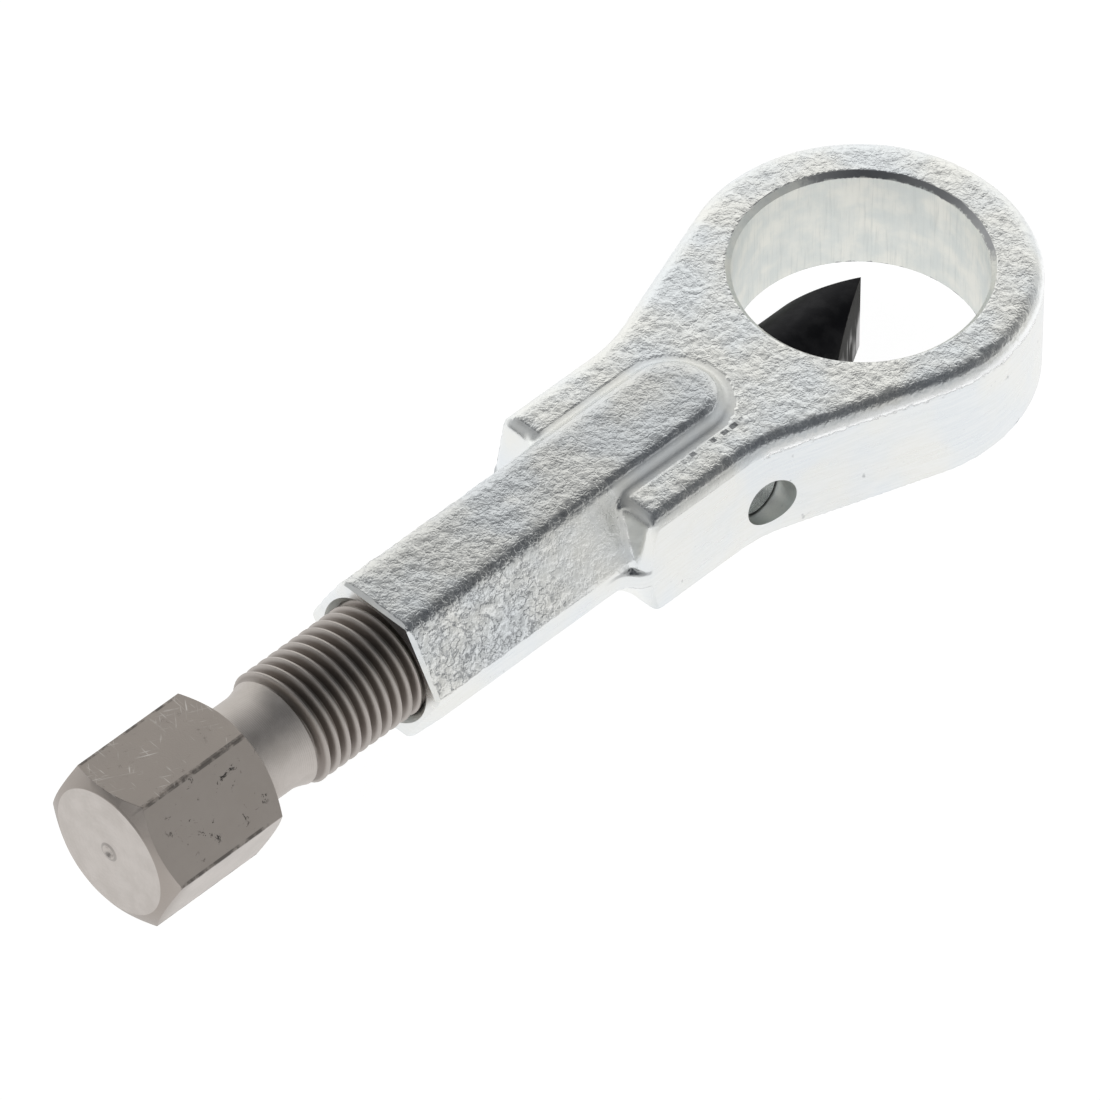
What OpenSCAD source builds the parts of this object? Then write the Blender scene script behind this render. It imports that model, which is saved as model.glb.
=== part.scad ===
// Nut splitter: a forged frame with an eye that goes over a seized nut, and a screw spindle
// that drives a chisel through the frame into the side of the nut.
// X runs along the tool towards the eye, Z is up, and the origin is the centre of the eye.
// The chisel is drawn with its edge on the eye's centre.

/* [Eye] */
// Diameter of the eye that goes over the nut
eye_d = 28; // [22:0.5:34]
// Wall of the ring round the eye
ring_wall = 5.75; // [4.5:0.25:8]
// Chamfer round both mouths of the eye
eye_chamfer = 0.6; // [0.2:0.1:1.2]

/* [Arm] */
// Thickness of the plate that carries the eye
plate_t = 14; // [12:0.5:15]
// Width across the parallel flanks
arm_w = 23; // [21:0.5:27]
// From the eye's wall back to the bend where the flanks become parallel
spread_len = 12.8; // [11:0.2:18]
// Length of the parallel flanks behind the bend
parallel_len = 16.2; // [12:0.2:20]
// Radius of the bend between the sloping and the parallel flanks
bend_r = 17; // [5:1:25]
// Height of the rounded bands along the plate's edges, as a share of their width
band_share = 0.68; // [0.4:0.02:0.8]
// Width of the rounded band along the upper edges
upper_band = 2; // [1:0.1:2.5]
// Width of the rounded band along the lower edges
lower_band = 0.5; // [0.3:0.1:2.4]
// Width of the rounded band along the shoulders
shoulder_band = 1.3; // [0.6:0.1:2.4]
// Draft of the shoulders, in degrees
shoulder_draft = 12; // [5:1:15]
// Radius of the shoulders' outer corners
shoulder_corner_r = 1.2; // [0.5:0.1:2]
// Radius of the hollows between the shoulders and the shaft's sloping sides
shoulder_fillet = 1; // [0.5:0.1:2]

/* [Shaft] */
// Width across the flats of the six-sided shaft
shaft_af = 17; // [16.5:0.5:20]
// Length of the shaft behind the shoulders
shaft_len = 30.2; // [24:0.2:40]
// Rounding of the shaft's upper and lower edges
shaft_edge_r = 2.2; // [0.5:0.1:2.4]
// How far the shaft's side edges are trimmed back
shaft_trim = 0.4; // [0.2:0.1:0.8]
// How far the trimmed sides reach below the middle
trim_low = 2.2; // [1:0.1:3]
// Length of the shaft's crest on the plate, to the centre of its round nose
crest_len = 14.1; // [8:0.1:18]
// Radius of the hollow between the crest and the plate
crest_fillet = 0.8; // [0.8:0.1:2.4]

/* [Spindle] */
// Outer diameter of the spindle's thread
thread_d = 14; // [12:0.5:15]
// Pitch of the thread
thread_pitch = 1.5; // [1:0.25:2]
// Depth of the thread's grooves
thread_depth = 0.92; // [0.5:0.02:1.2]
// Running clearance of the thread in the frame, on the radius
thread_clear = 0.05; // [0.02:0.01:0.1]
// Countersink at the mouth of the threaded bore
mouth_chamfer = 0.7; // [0.3:0.1:1]
// Chamfer at both ends of the thread
thread_chamfer = 0.9; // [0.5:0.1:1.5]
// Thread left outside the frame when the chisel is home
thread_spare = 1.5; // [0.5:0.1:5]
// Length of the waist between the thread and the hexagon
neck_len = 7.3; // [6:0.1:12]
// Diameter of the waist
neck_d = 11.7; // [9:0.1:12]
// Rounding at the hexagon's end of the waist
neck_fillet = 1; // [0.5:0.1:2]
// Length of the flare from the waist to the thread
flare_len = 2.4; // [1.5:0.1:4]
// Rounding where the flare leaves the waist
flare_fillet = 5; // [2:0.5:8]
// Width across the flats of the drive hexagon
hex_af = 17; // [14:1:22]
// Length of the drive hexagon
hex_len = 17; // [12:0.5:25]
// Turn of the drive hexagon about the spindle's axis, in degrees
hex_turn = 54.5; // [0:0.5:60]
// How far the hexagon's chamfered end circle lies inside its flats
hex_face_inset = 0.8; // [0.2:0.1:1.5]
// Diameter of the centre mark in the hexagon's end
centre_mark_d = 2.2; // [1:0.1:3]

/* [Chisel] */
// Diameter of the chisel
chisel_d = 10.5; // [8:0.5:11.5]
// Running clearance of the chisel in its guide bore, on the radius
chisel_clear = 0.05; // [0.02:0.01:0.1]
// Angle between the two ground faces of the cutting edge
edge_angle = 60; // [55:1:90]
// Length of the guide bore behind the eye's wall
guide_len = 17; // [16:0.5:20]
// Gap between the cutting edge and the far wall when the chisel is home
home_gap = 1; // [0.5:0.1:3]
// How far the cutting edge stands out of the near wall when it is drawn back
drawn_stand = 2; // [1.5:0.1:4]
// Chamfer round the chisel's rear end
chisel_chamfer = 0.6; // [0.2:0.1:1]

/* [Guide pin] */
// Diameter of the guide pin
pin_d = 6; // [4:0.5:7]
// From the eye's wall back to the pin's axis
pin_setback = 11.9; // [11.5:0.1:13]
// How far the pin's axis lies below the spindle's axis
pin_drop = 1.9; // [0:0.1:2.5]
// How far the pin's end is sunk below the flank
pin_sink = 2; // [0.5:0.25:4]
// Clearance of the pin in its hole, on the radius
pin_fit = 0.01; // [0.01:0.01:0.03]
// Chamfer round both ends of the pin
pin_chamfer = 0.4; // [0.2:0.1:0.8]
// Distance of the slot's floor from the chisel's axis
slot_floor = 3; // [2:0.1:4]
// Clearance between the pin and the slot in the chisel
slot_clear = 0.15; // [0.05:0.05:0.3]

/* [Thrust ball] */
// Diameter of the ball between the spindle and the chisel
ball_d = 6; // [4:0.5:7]
// Gap between the spindle's end and the chisel's end
thrust_gap = 2; // [1:0.1:2.5]
// Clearance of the ball in its two seats
ball_clear = 0.05; // [0.02:0.01:0.1]

/* [Hidden] */
$fn = 96;
// Flat strips that make up one rounded edge
arc_n = 6;
// How far a cut runs past a face, and a join runs into a solid
over = 2;
// How far one cut along an edge laps over the next
lap = 0.05;

eye_r = eye_d / 2;
ring_r = eye_r + ring_wall;
half_t = plate_t / 2;
half_w = arm_w / 2;

// Distances behind the eye's centre
bend_x = eye_r + spread_len;
shoulder_x = bend_x + parallel_len;
shaft_end_x = shoulder_x + shaft_len;
nose_x = shoulder_x - crest_len;
pin_x = eye_r + pin_setback;
guide_end_x = eye_r + guide_len;

// The sloping flank touches the ring's outer circle
flank_a = asin(ring_r / norm([bend_x, half_w])) - atan2(half_w, bend_x);
touch = ring_r * [-sin(flank_a), cos(flank_a)];
bend_run = bend_r * tan(flank_a / 2);
bend_rear_x = bend_x + bend_run;
bend_front_x = bend_x - bend_run * cos(flank_a);
slope_len = norm(touch - [-bend_x, half_w]) - bend_run;

// Shaft section: a hexagon with its flats above and below
shaft_h = shaft_af / 2;
side_tilt = 30;
flat_half = shaft_h * tan(side_tilt);
side_y = shaft_af / sqrt(3);
trim_y = side_y - shaft_trim;
trim_h = shaft_trim / tan(side_tilt);
crest_h = shaft_h - half_t;
low_tilt = atan2(trim_y - flat_half, shaft_h - trim_low);
low_side_y = trim_y + trim_low * tan(low_tilt);
draft_run = half_t * tan(shoulder_draft);

// The crest's round edge runs into its hollow, nowhere steeper than the shaft's side
crest_hollow_r = max(crest_fillet, 2 * crest_h - shaft_edge_r);
crest_turn = acos(1 - crest_h / (shaft_edge_r + crest_hollow_r));
crest_top_y = flat_half - shaft_edge_r * tan(side_tilt);
crest_foot_y = crest_top_y + (shaft_edge_r + crest_hollow_r) * sin(crest_turn);

// Plan of the trimmed land at a shoulder: a hollow arc, then a round one, each through land_turn
land_turn = 60;
land_r = (half_w - trim_y) / (2 - 2 * cos(land_turn));
land_front_x = shoulder_x + draft_run - shoulder_corner_r;
land_rear_x = land_front_x + 2 * land_r * sin(land_turn);

// Travel of the chisel and the lengths that follow from it
travel_home = eye_r - home_gap;
travel_back = eye_r - drawn_stand;
chisel_len = guide_end_x + travel_home;
chisel_r = chisel_d / 2;
spindle_tip_x = chisel_len + thrust_gap;
thread_r = thread_d / 2;
thread_end_x = shaft_end_x + travel_home + thread_spare;
neck_end_x = thread_end_x + neck_len;
hex_end_x = neck_end_x + hex_len;
ball_x = chisel_len + thrust_gap / 2;

function unit(v) = v / norm(v);

// Points of the arc of radius r that rounds corner b on the way from a to c
function corner_arc(a, b, c, r) =
    let (u = unit(a - b), v = unit(c - b), half = acos(u * v) / 2)
    let (m = b + unit(u + v) * r / sin(half))
    let (p = b + u * r / tan(half) - m, q = b + v * r / tan(half) - m)
    let (start = atan2(p.y, p.x), turn = atan2(p.x * q.y - p.y * q.x, p * q))
    [for (i = [0:arc_n]) m + r * [cos(start + turn * i / arc_n), sin(start + turn * i / arc_n)]];

// Points of the bend on the left flank, from the rear to the front
function bend_arc() =
    [for (i = [0:arc_n])
        let (a = flank_a * i / arc_n)
        [-bend_rear_x + bend_r * sin(a), half_w + bend_r * (1 - cos(a))]];

// Points of the land's plan on the left, from the shaft's side to the flank
function land_arcs() =
    concat(
        [for (i = [0:arc_n])
            let (a = land_turn * i / arc_n)
            [-land_rear_x + land_r * sin(a), trim_y + land_r * (1 - cos(a))]],
        [for (i = [arc_n - 1:-1:0])
            let (a = land_turn * i / arc_n)
            [-land_front_x - land_r * sin(a), half_w - land_r * (1 - cos(a))]]
    );

// Half width of the arm at a distance x behind the eye's centre
function flank_y(x) =
    x > bend_rear_x ? half_w
    : x > bend_front_x ? half_w + bend_r - sqrt(pow(bend_r, 2) - pow(bend_rear_x - x, 2))
    : half_w + (bend_x - x) * tan(flank_a);

function flip_y(points) = [for (i = [len(points) - 1:-1:0]) [points[i].x, -points[i].y]];

// Section of the shaft, the right half from the top flat to the bottom flat
function shaft_half() =
    let (top = [flat_half, shaft_h], bottom = [flat_half, -shaft_h])
    let (high = [trim_y, trim_h], low = [trim_y, -trim_low])
    concat(
        corner_arc([0, shaft_h], top, high, shaft_edge_r),
        [high, low],
        corner_arc(low, bottom, [0, -shaft_h], shaft_edge_r)
    );

// Section of the crest above the plate, from its middle to the plate's face
function crest_half() =
    concat(
        [[0, half_t - over], [0, shaft_h]],
        [for (i = [0:arc_n])
            let (a = crest_turn * i / arc_n)
            [crest_top_y + shaft_edge_r * sin(a), shaft_h - shaft_edge_r * (1 - cos(a))]],
        [for (i = [arc_n - 1:-1:0])
            let (a = crest_turn * i / arc_n)
            [crest_foot_y - crest_hollow_r * sin(a), half_t + crest_hollow_r * (1 - cos(a))]],
        [[crest_foot_y, half_t - over]]
    );

// Places a drawing in Y and Z and runs it along X from x0 to x1
module along_x(x0, x1) {
    translate([x0, 0, 0])
        rotate([90, 0, 90])
            linear_extrude(x1 - x0)
                children();
}

module rod_x(x0, x1, r0, r1) {
    translate([x0, 0, 0])
        rotate([0, 90, 0])
            cylinder(h = x1 - x0, r1 = r0, r2 = r1);
}

module both_sides() {
    children();
    mirror([0, 1, 0])
        children();
}

module both_faces() {
    children();
    mirror([0, 0, 1])
        children();
}

// What a rounded edge takes away: x runs inwards from the flank, y up from the plate's face
module edge_cut(band) {
    sweep = 2 * atan(band_share);
    r = band / sin(sweep);
    arc = [for (i = [0:arc_n])
        let (a = sweep * i / arc_n)
        [band - r * sin(a), r * (cos(a) - 1)]];
    end = arc[arc_n] - lap * [cos(sweep), sin(sweep)];
    polygon(concat(arc, [end, [-over, end.y], [-over, over], [band, over]]));
}

// Rounded edge of one plate face, along one flank and round the ring
module flank_edge(band) {
    translate([touch.x, touch.y, 0])
        rotate([0, 0, flank_a])
            rotate([90, 0, -90])
                translate([0, 0, -lap])
                    linear_extrude(slope_len + 2 * lap)
                        edge_cut(band);
    translate([-bend_rear_x, half_w + bend_r, 0])
        rotate([0, 0, -90])
            rotate_extrude(angle = flank_a)
                translate([bend_r, 0])
                    edge_cut(band);
    translate([-bend_rear_x + lap, half_w, 0])
        rotate([90, 0, -90])
            linear_extrude(shoulder_x + draft_run + over - bend_rear_x)
                edge_cut(band);
}

module ring_edge(band) {
    rotate([0, 0, -90 - flank_a])
        rotate_extrude(angle = 180 + 2 * flank_a)
            translate([ring_r, 0])
                mirror([1, 0])
                    edge_cut(band);
}

module shoulder_edge() {
    translate([-shoulder_x, half_w + over, 0])
        rotate([90, 0, 0])
            linear_extrude(arm_w + 2 * over)
                edge_cut(shoulder_band);
}

module face_edges(band) {
    translate([0, 0, half_t]) {
        both_sides()
            flank_edge(band);
        ring_edge(band);
        shoulder_edge();
    }
}

// Plan of the arm and the ring
module plate_plan() {
    left = concat([[-shoulder_x - draft_run, half_w]], bend_arc(), [touch]);
    circle(r = ring_r);
    polygon(concat(left, [[0, 0]], flip_y(left)));
}

// Side view of the arm, with the draft of both die halves at the shoulders
module plate_side() {
    polygon([
        [-shoulder_x, half_t],
        [-shoulder_x - draft_run, 0],
        [-shoulder_x, -half_t],
        [ring_r + over, -half_t],
        [ring_r + over, half_t]
    ]);
}

// What is taken off a shoulder's outer corner above the parting plane
module shoulder_corner() {
    translate([-shoulder_x - draft_run, half_w, 0])
        rotate([0, shoulder_draft, 0])
            translate([0, 0, -lap])
                linear_extrude(half_t / cos(shoulder_draft) + over)
                    difference() {
                        translate([-over, -shoulder_corner_r])
                            square(shoulder_corner_r + over);
                        translate([shoulder_corner_r, -shoulder_corner_r])
                            circle(r = shoulder_corner_r);
                    }
}

module plate() {
    difference() {
        intersection() {
            translate([0, 0, -half_t - over])
                linear_extrude(plate_t + 2 * over)
                    plate_plan();
            translate([0, ring_r + over, 0])
                rotate([90, 0, 0])
                    linear_extrude(2 * (ring_r + over))
                        plate_side();
        }
        face_edges(upper_band);
        mirror([0, 0, 1])
            face_edges(lower_band);
        both_faces()
            both_sides()
                shoulder_corner();
    }
}

// Hollow that blends one shoulder into a side of the shaft, from a height up;
// the side would meet the parting plane at side, and leans in by tilt
module shoulder_hollow(side, tilt, start) {
    lean = atan(tan(shoulder_draft) * cos(tilt));
    intersection() {
        translate([-shoulder_x - draft_run, side, 0])
            rotate([tilt, 0, 0])
                rotate([0, lean, 0])
                    translate([0, 0, -shaft_h])
                        linear_extrude(2 * shaft_h + over)
                            difference() {
                                translate([-shoulder_fillet, -over])
                                    square([shoulder_fillet + over, shoulder_fillet + over]);
                                translate([-shoulder_fillet, shoulder_fillet])
                                    circle(r = shoulder_fillet);
                            }
        translate([-shoulder_x - draft_run - shoulder_fillet, 0, start])
            cube([shoulder_fillet + draft_run + over, half_w, half_t - shoulder_band / 2 - start]);
    }
}

// Land that the trimmed flash leaves below the parting plane at a shoulder
module shoulder_land() {
    inner = [[-shoulder_x + over, half_w], [-shoulder_x + over, 0], [-land_rear_x, 0]];
    translate([0, 0, -trim_low])
        linear_extrude(trim_low)
            polygon(concat(land_arcs(), inner));
}

module shaft() {
    right = shaft_half();
    along_x(-shaft_end_x, shoulder_band - shoulder_x + lap)
        polygon(concat(right, [for (i = [len(right) - 1:-1:0]) [-right[i].x, right[i].y]]));
}

// Crest with its round nose, where the shaft stands above the plate
module crest() {
    half = crest_half();
    both_sides()
        along_x(shoulder_band - shoulder_x, -nose_x)
            polygon(half);
    translate([-nose_x, 0, 0])
        rotate([0, 0, -90])
            rotate_extrude(angle = 180)
                polygon(half);
}

module eye_cut() {
    cylinder(h = plate_t + 2 * over, r = eye_r, center = true);
    both_faces()
        translate([0, 0, half_t - eye_chamfer])
            cylinder(h = eye_chamfer + over, r1 = eye_r, r2 = eye_r + eye_chamfer + over);
}

module spindle_bore() {
    mouth_r = thread_r + mouth_chamfer;
    rod_x(-shaft_end_x - over, -guide_end_x, thread_r, thread_r);
    rod_x(-shaft_end_x - over, -shaft_end_x + mouth_chamfer, mouth_r + over, thread_r);
    rod_x(-guide_end_x - over, 0, chisel_r + chisel_clear, chisel_r + chisel_clear);
}

// A rod across the tool at the guide pin's place, from y0 to y1 on the right
module cross_rod(x, y0, y1, r) {
    translate([x, -y0, -pin_drop])
        rotate([90, 0, 0])
            cylinder(h = y1 - y0, r = r);
}

module body() {
    color([0.80, 0.82, 0.83])
        difference() {
            union() {
                plate();
                shaft();
                both_faces()
                    crest();
                both_sides() {
                    shoulder_hollow(side_y, side_tilt, trim_h);
                    mirror([0, 0, 1])
                        shoulder_hollow(low_side_y, low_tilt, trim_low);
                    shoulder_land();
                }
            }
            eye_cut();
            spindle_bore();
            cross_rod(-pin_x, 0, ring_r, pin_d / 2);
        }
}

// Outline of the thread's grooves as rings, from the neck to the spindle's tip
function thread_rings(outer_r) =
    let (start = -thread_end_x + thread_chamfer / 2, stop = -spindle_tip_x - thread_chamfer)
    let (count = floor((stop - start) / thread_pitch))
    [for (i = [0:count - 1]) each [
        [outer_r, start + i * thread_pitch],
        [outer_r - thread_depth, start + (i + 0.5) * thread_pitch]
    ]];

module spindle() {
    outer_r = thread_r - thread_clear;
    neck_r = neck_d / 2;
    hex_r = hex_af / sqrt(3);
    face_r = hex_af / 2 - hex_face_inset;
    chamfer_r = hex_r + over;
    chamfer_run = (chamfer_r - face_r) * tan(30);
    foot = corner_arc([-neck_end_x, hex_r], [-neck_end_x, neck_r], [0, neck_r], neck_fillet);
    flare_r = outer_r - thread_chamfer / 2;
    flare = corner_arc(
        [-neck_end_x, neck_r],
        [-thread_end_x - flare_len, neck_r],
        [-thread_end_x, flare_r],
        flare_fillet
    );
    color([0.55, 0.52, 0.49])
        difference() {
            union() {
                intersection() {
                    rotate([hex_turn - 90, 0, 0])
                        rod_x(-hex_end_x, -neck_end_x, hex_r, hex_r, $fn = 6);
                    rotate([0, 90, 0])
                        rotate_extrude()
                            polygon([
                                [0, -hex_end_x],
                                [face_r, -hex_end_x],
                                [chamfer_r, -hex_end_x + chamfer_run],
                                [chamfer_r, -neck_end_x - chamfer_run],
                                [face_r, -neck_end_x],
                                [0, -neck_end_x]
                            ]);
                }
                rotate([0, 90, 0])
                    rotate_extrude()
                        polygon(concat(
                            [[0, -neck_end_x - over]],
                            [[foot[0].y, -neck_end_x - over]],
                            [for (p = foot) [p.y, p.x]],
                            [for (p = flare) [p.y, p.x]],
                            [
                                [flare_r, -thread_end_x],
                                each thread_rings(outer_r),
                                [outer_r, -spindle_tip_x - thread_chamfer],
                                [outer_r - thread_chamfer, -spindle_tip_x],
                                [0, -spindle_tip_x]
                            ]
                        ));
            }
            translate([-ball_x, 0, 0])
                sphere(d = ball_d + 2 * ball_clear);
            rod_x(-hex_end_x - over, -hex_end_x + centre_mark_d / 2, centre_mark_d / 2 + over, 0);
        }
}

module chisel() {
    grind_len = chisel_r / tan(edge_angle / 2);
    slot_r = pin_d / 2 + slot_clear;
    slot_rear_x = pin_x + travel_home + slot_clear;
    slot_front_x = pin_x - travel_back - slot_clear;
    color([0.09, 0.09, 0.10])
        difference() {
            intersection() {
                rotate([0, 90, 0])
                    rotate_extrude()
                        polygon([
                            [0, -chisel_len],
                            [chisel_r - chisel_chamfer, -chisel_len],
                            [chisel_r, -chisel_len + chisel_chamfer],
                            [chisel_r, 0],
                            [0, 0]
                        ]);
                translate([0, 0, -chisel_r - over])
                    linear_extrude(chisel_d + 2 * over)
                        polygon([
                            [0, 0],
                            [-grind_len * 2, chisel_d],
                            [-chisel_len - over, chisel_d],
                            [-chisel_len - over, -chisel_d],
                            [-grind_len * 2, -chisel_d]
                        ]);
            }
            translate([-ball_x, 0, 0])
                sphere(d = ball_d + 2 * ball_clear);
            for (x = [slot_rear_x, slot_front_x])
                cross_rod(-x, slot_floor, chisel_d, slot_r);
            translate([-slot_rear_x, -chisel_d, -pin_drop - slot_r])
                cube([slot_rear_x - slot_front_x, chisel_d - slot_floor, 2 * slot_r]);
        }
}

module guide_pin() {
    outer_y = flank_y(pin_x) - pin_sink;
    inner_y = slot_floor + slot_clear;
    r = pin_d / 2 - pin_fit;
    color([0.72, 0.74, 0.75])
        translate([-pin_x, -inner_y, -pin_drop])
            rotate([90, 0, 0])
                rotate_extrude()
                    polygon([
                        [0, 0],
                        [r - pin_chamfer, 0],
                        [r, pin_chamfer],
                        [r, outer_y - inner_y - pin_chamfer],
                        [r - pin_chamfer, outer_y - inner_y],
                        [0, outer_y - inner_y]
                    ]);
}

module thrust_ball() {
    color([0.66, 0.67, 0.69])
        translate([-ball_x, 0, 0])
            sphere(d = ball_d);
}

body();
spindle();
chisel();
guide_pin();
thrust_ball();
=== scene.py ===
"""Looks of a nut splitter: a zinc plated forging, a screw spindle, a chisel, its pin and its ball."""

import logging
import math
from collections.abc import Callable, Iterator, Sequence
from contextlib import contextmanager
from dataclasses import dataclass, field
from enum import Enum

import bmesh
import bpy
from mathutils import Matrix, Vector


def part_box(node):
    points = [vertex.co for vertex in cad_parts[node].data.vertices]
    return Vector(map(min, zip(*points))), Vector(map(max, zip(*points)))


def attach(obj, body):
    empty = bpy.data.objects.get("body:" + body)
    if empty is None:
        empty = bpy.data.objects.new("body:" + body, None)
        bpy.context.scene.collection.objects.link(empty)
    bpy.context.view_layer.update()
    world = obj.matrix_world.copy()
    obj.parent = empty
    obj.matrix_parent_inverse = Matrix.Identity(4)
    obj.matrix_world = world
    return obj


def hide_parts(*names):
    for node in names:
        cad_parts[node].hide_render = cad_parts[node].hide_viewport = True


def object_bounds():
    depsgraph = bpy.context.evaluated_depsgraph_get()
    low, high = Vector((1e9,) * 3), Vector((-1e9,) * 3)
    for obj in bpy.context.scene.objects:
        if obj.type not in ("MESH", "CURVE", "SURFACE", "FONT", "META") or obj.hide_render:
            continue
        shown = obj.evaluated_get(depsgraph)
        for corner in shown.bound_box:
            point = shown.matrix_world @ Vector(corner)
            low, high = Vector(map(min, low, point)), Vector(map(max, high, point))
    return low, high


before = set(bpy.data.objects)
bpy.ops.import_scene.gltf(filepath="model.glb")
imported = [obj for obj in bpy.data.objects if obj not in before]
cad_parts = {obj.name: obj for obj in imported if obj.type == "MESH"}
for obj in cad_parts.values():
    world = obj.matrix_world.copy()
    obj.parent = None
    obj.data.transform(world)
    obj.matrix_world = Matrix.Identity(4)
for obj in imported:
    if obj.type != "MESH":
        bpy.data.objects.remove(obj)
cad_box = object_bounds()

log = logging.getLogger("nut_splitter")

# One millimetre in metres: sizes below are in millimetres unless they say otherwise
MM = 0.001

# Vertex group that tells how rough the forging is; the shader reads its copy, the attribute
ROUGH = "rough"

Colour = tuple[float, float, float]
Point = tuple[float, float, float]
Spot = tuple[float, float]

# A soft step along a value: where it is still 0 and where it is 1
Step = tuple[float, float]


class Body(Enum):
    """The bodies that pieces ride on."""

    FRAME = "frame"
    CHISEL = "chisel"
    SPINDLE = "spindle"


class Skin(Enum):
    """How a surface of the forging was left by its last operation."""

    FORGED = "forged"
    TRIMMED = "trimmed"
    MACHINED = "machined"


class Pressed(Enum):
    """How rough the dies left a part of the forging, from 0 to 1."""

    SHOULDER = 0.06
    CREST_SIDE = 0.08
    EDGE_BAND = 0.15
    UNDERSIDE = 0.25
    PLATE_EDGE = 0.35
    CALM_SIDE = 0.35
    PLATE = 0.55
    SHAFT_TOP = 0.65
    SHAFT_SIDE = 1.0


class Wire:
    """A shader socket that can be reckoned with like a number."""

    def __init__(self, graph: "Graph", socket: bpy.types.NodeSocket) -> None:
        """Wraps one output socket of a graph."""
        self.graph = graph
        self.socket = socket

    def __add__(self, other: "Wire | float") -> "Wire":
        """Adds another value."""
        return self.graph.math("ADD", self, other)

    def __sub__(self, other: "Wire | float") -> "Wire":
        """Takes another value away."""
        return self.graph.math("SUBTRACT", self, other)

    def __rsub__(self, other: "Wire | float") -> "Wire":
        """Takes this value away from a number."""
        return self.graph.math("SUBTRACT", other, self)

    def __mul__(self, other: "Wire | float") -> "Wire":
        """Multiplies by another value."""
        return self.graph.math("MULTIPLY", self, other)

    def __pow__(self, other: "Wire | float") -> "Wire":
        """Raises to a power."""
        return self.graph.math("POWER", self, other)

    def __rpow__(self, other: "Wire | float") -> "Wire":
        """Raises a number to this power."""
        return self.graph.math("POWER", other, self)

    __radd__ = __add__
    __rmul__ = __mul__

    def __abs__(self) -> "Wire":
        """Drops the sign."""
        return self.graph.math("ABSOLUTE", self)

    def sine(self) -> "Wire":
        """Gives the sine of an angle in radians."""
        return self.graph.math("SINE", self)

    def at_least(self, other: "Wire | float") -> "Wire":
        """Gives the larger of two values."""
        return self.graph.math("MAXIMUM", self, other)

    def rise(self, low: float, high: float) -> "Wire":
        """Gives a soft step.

        Args:
            low: The value up to which the step is 0.
            high: The value from which the step is 1. It may be the smaller one, for a falling step.

        Returns:
            The step, from 0 to 1.
        """
        return self.graph.node(
            "ShaderNodeMapRange",
            {"interpolation_type": "SMOOTHSTEP"},
            {"Value": self, "From Min": low, "From Max": high},
        )

    def output(self, name: str) -> "Wire":
        """Gives another output of the same node."""
        return Wire(self.graph, self.socket.node.outputs[name])


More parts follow.
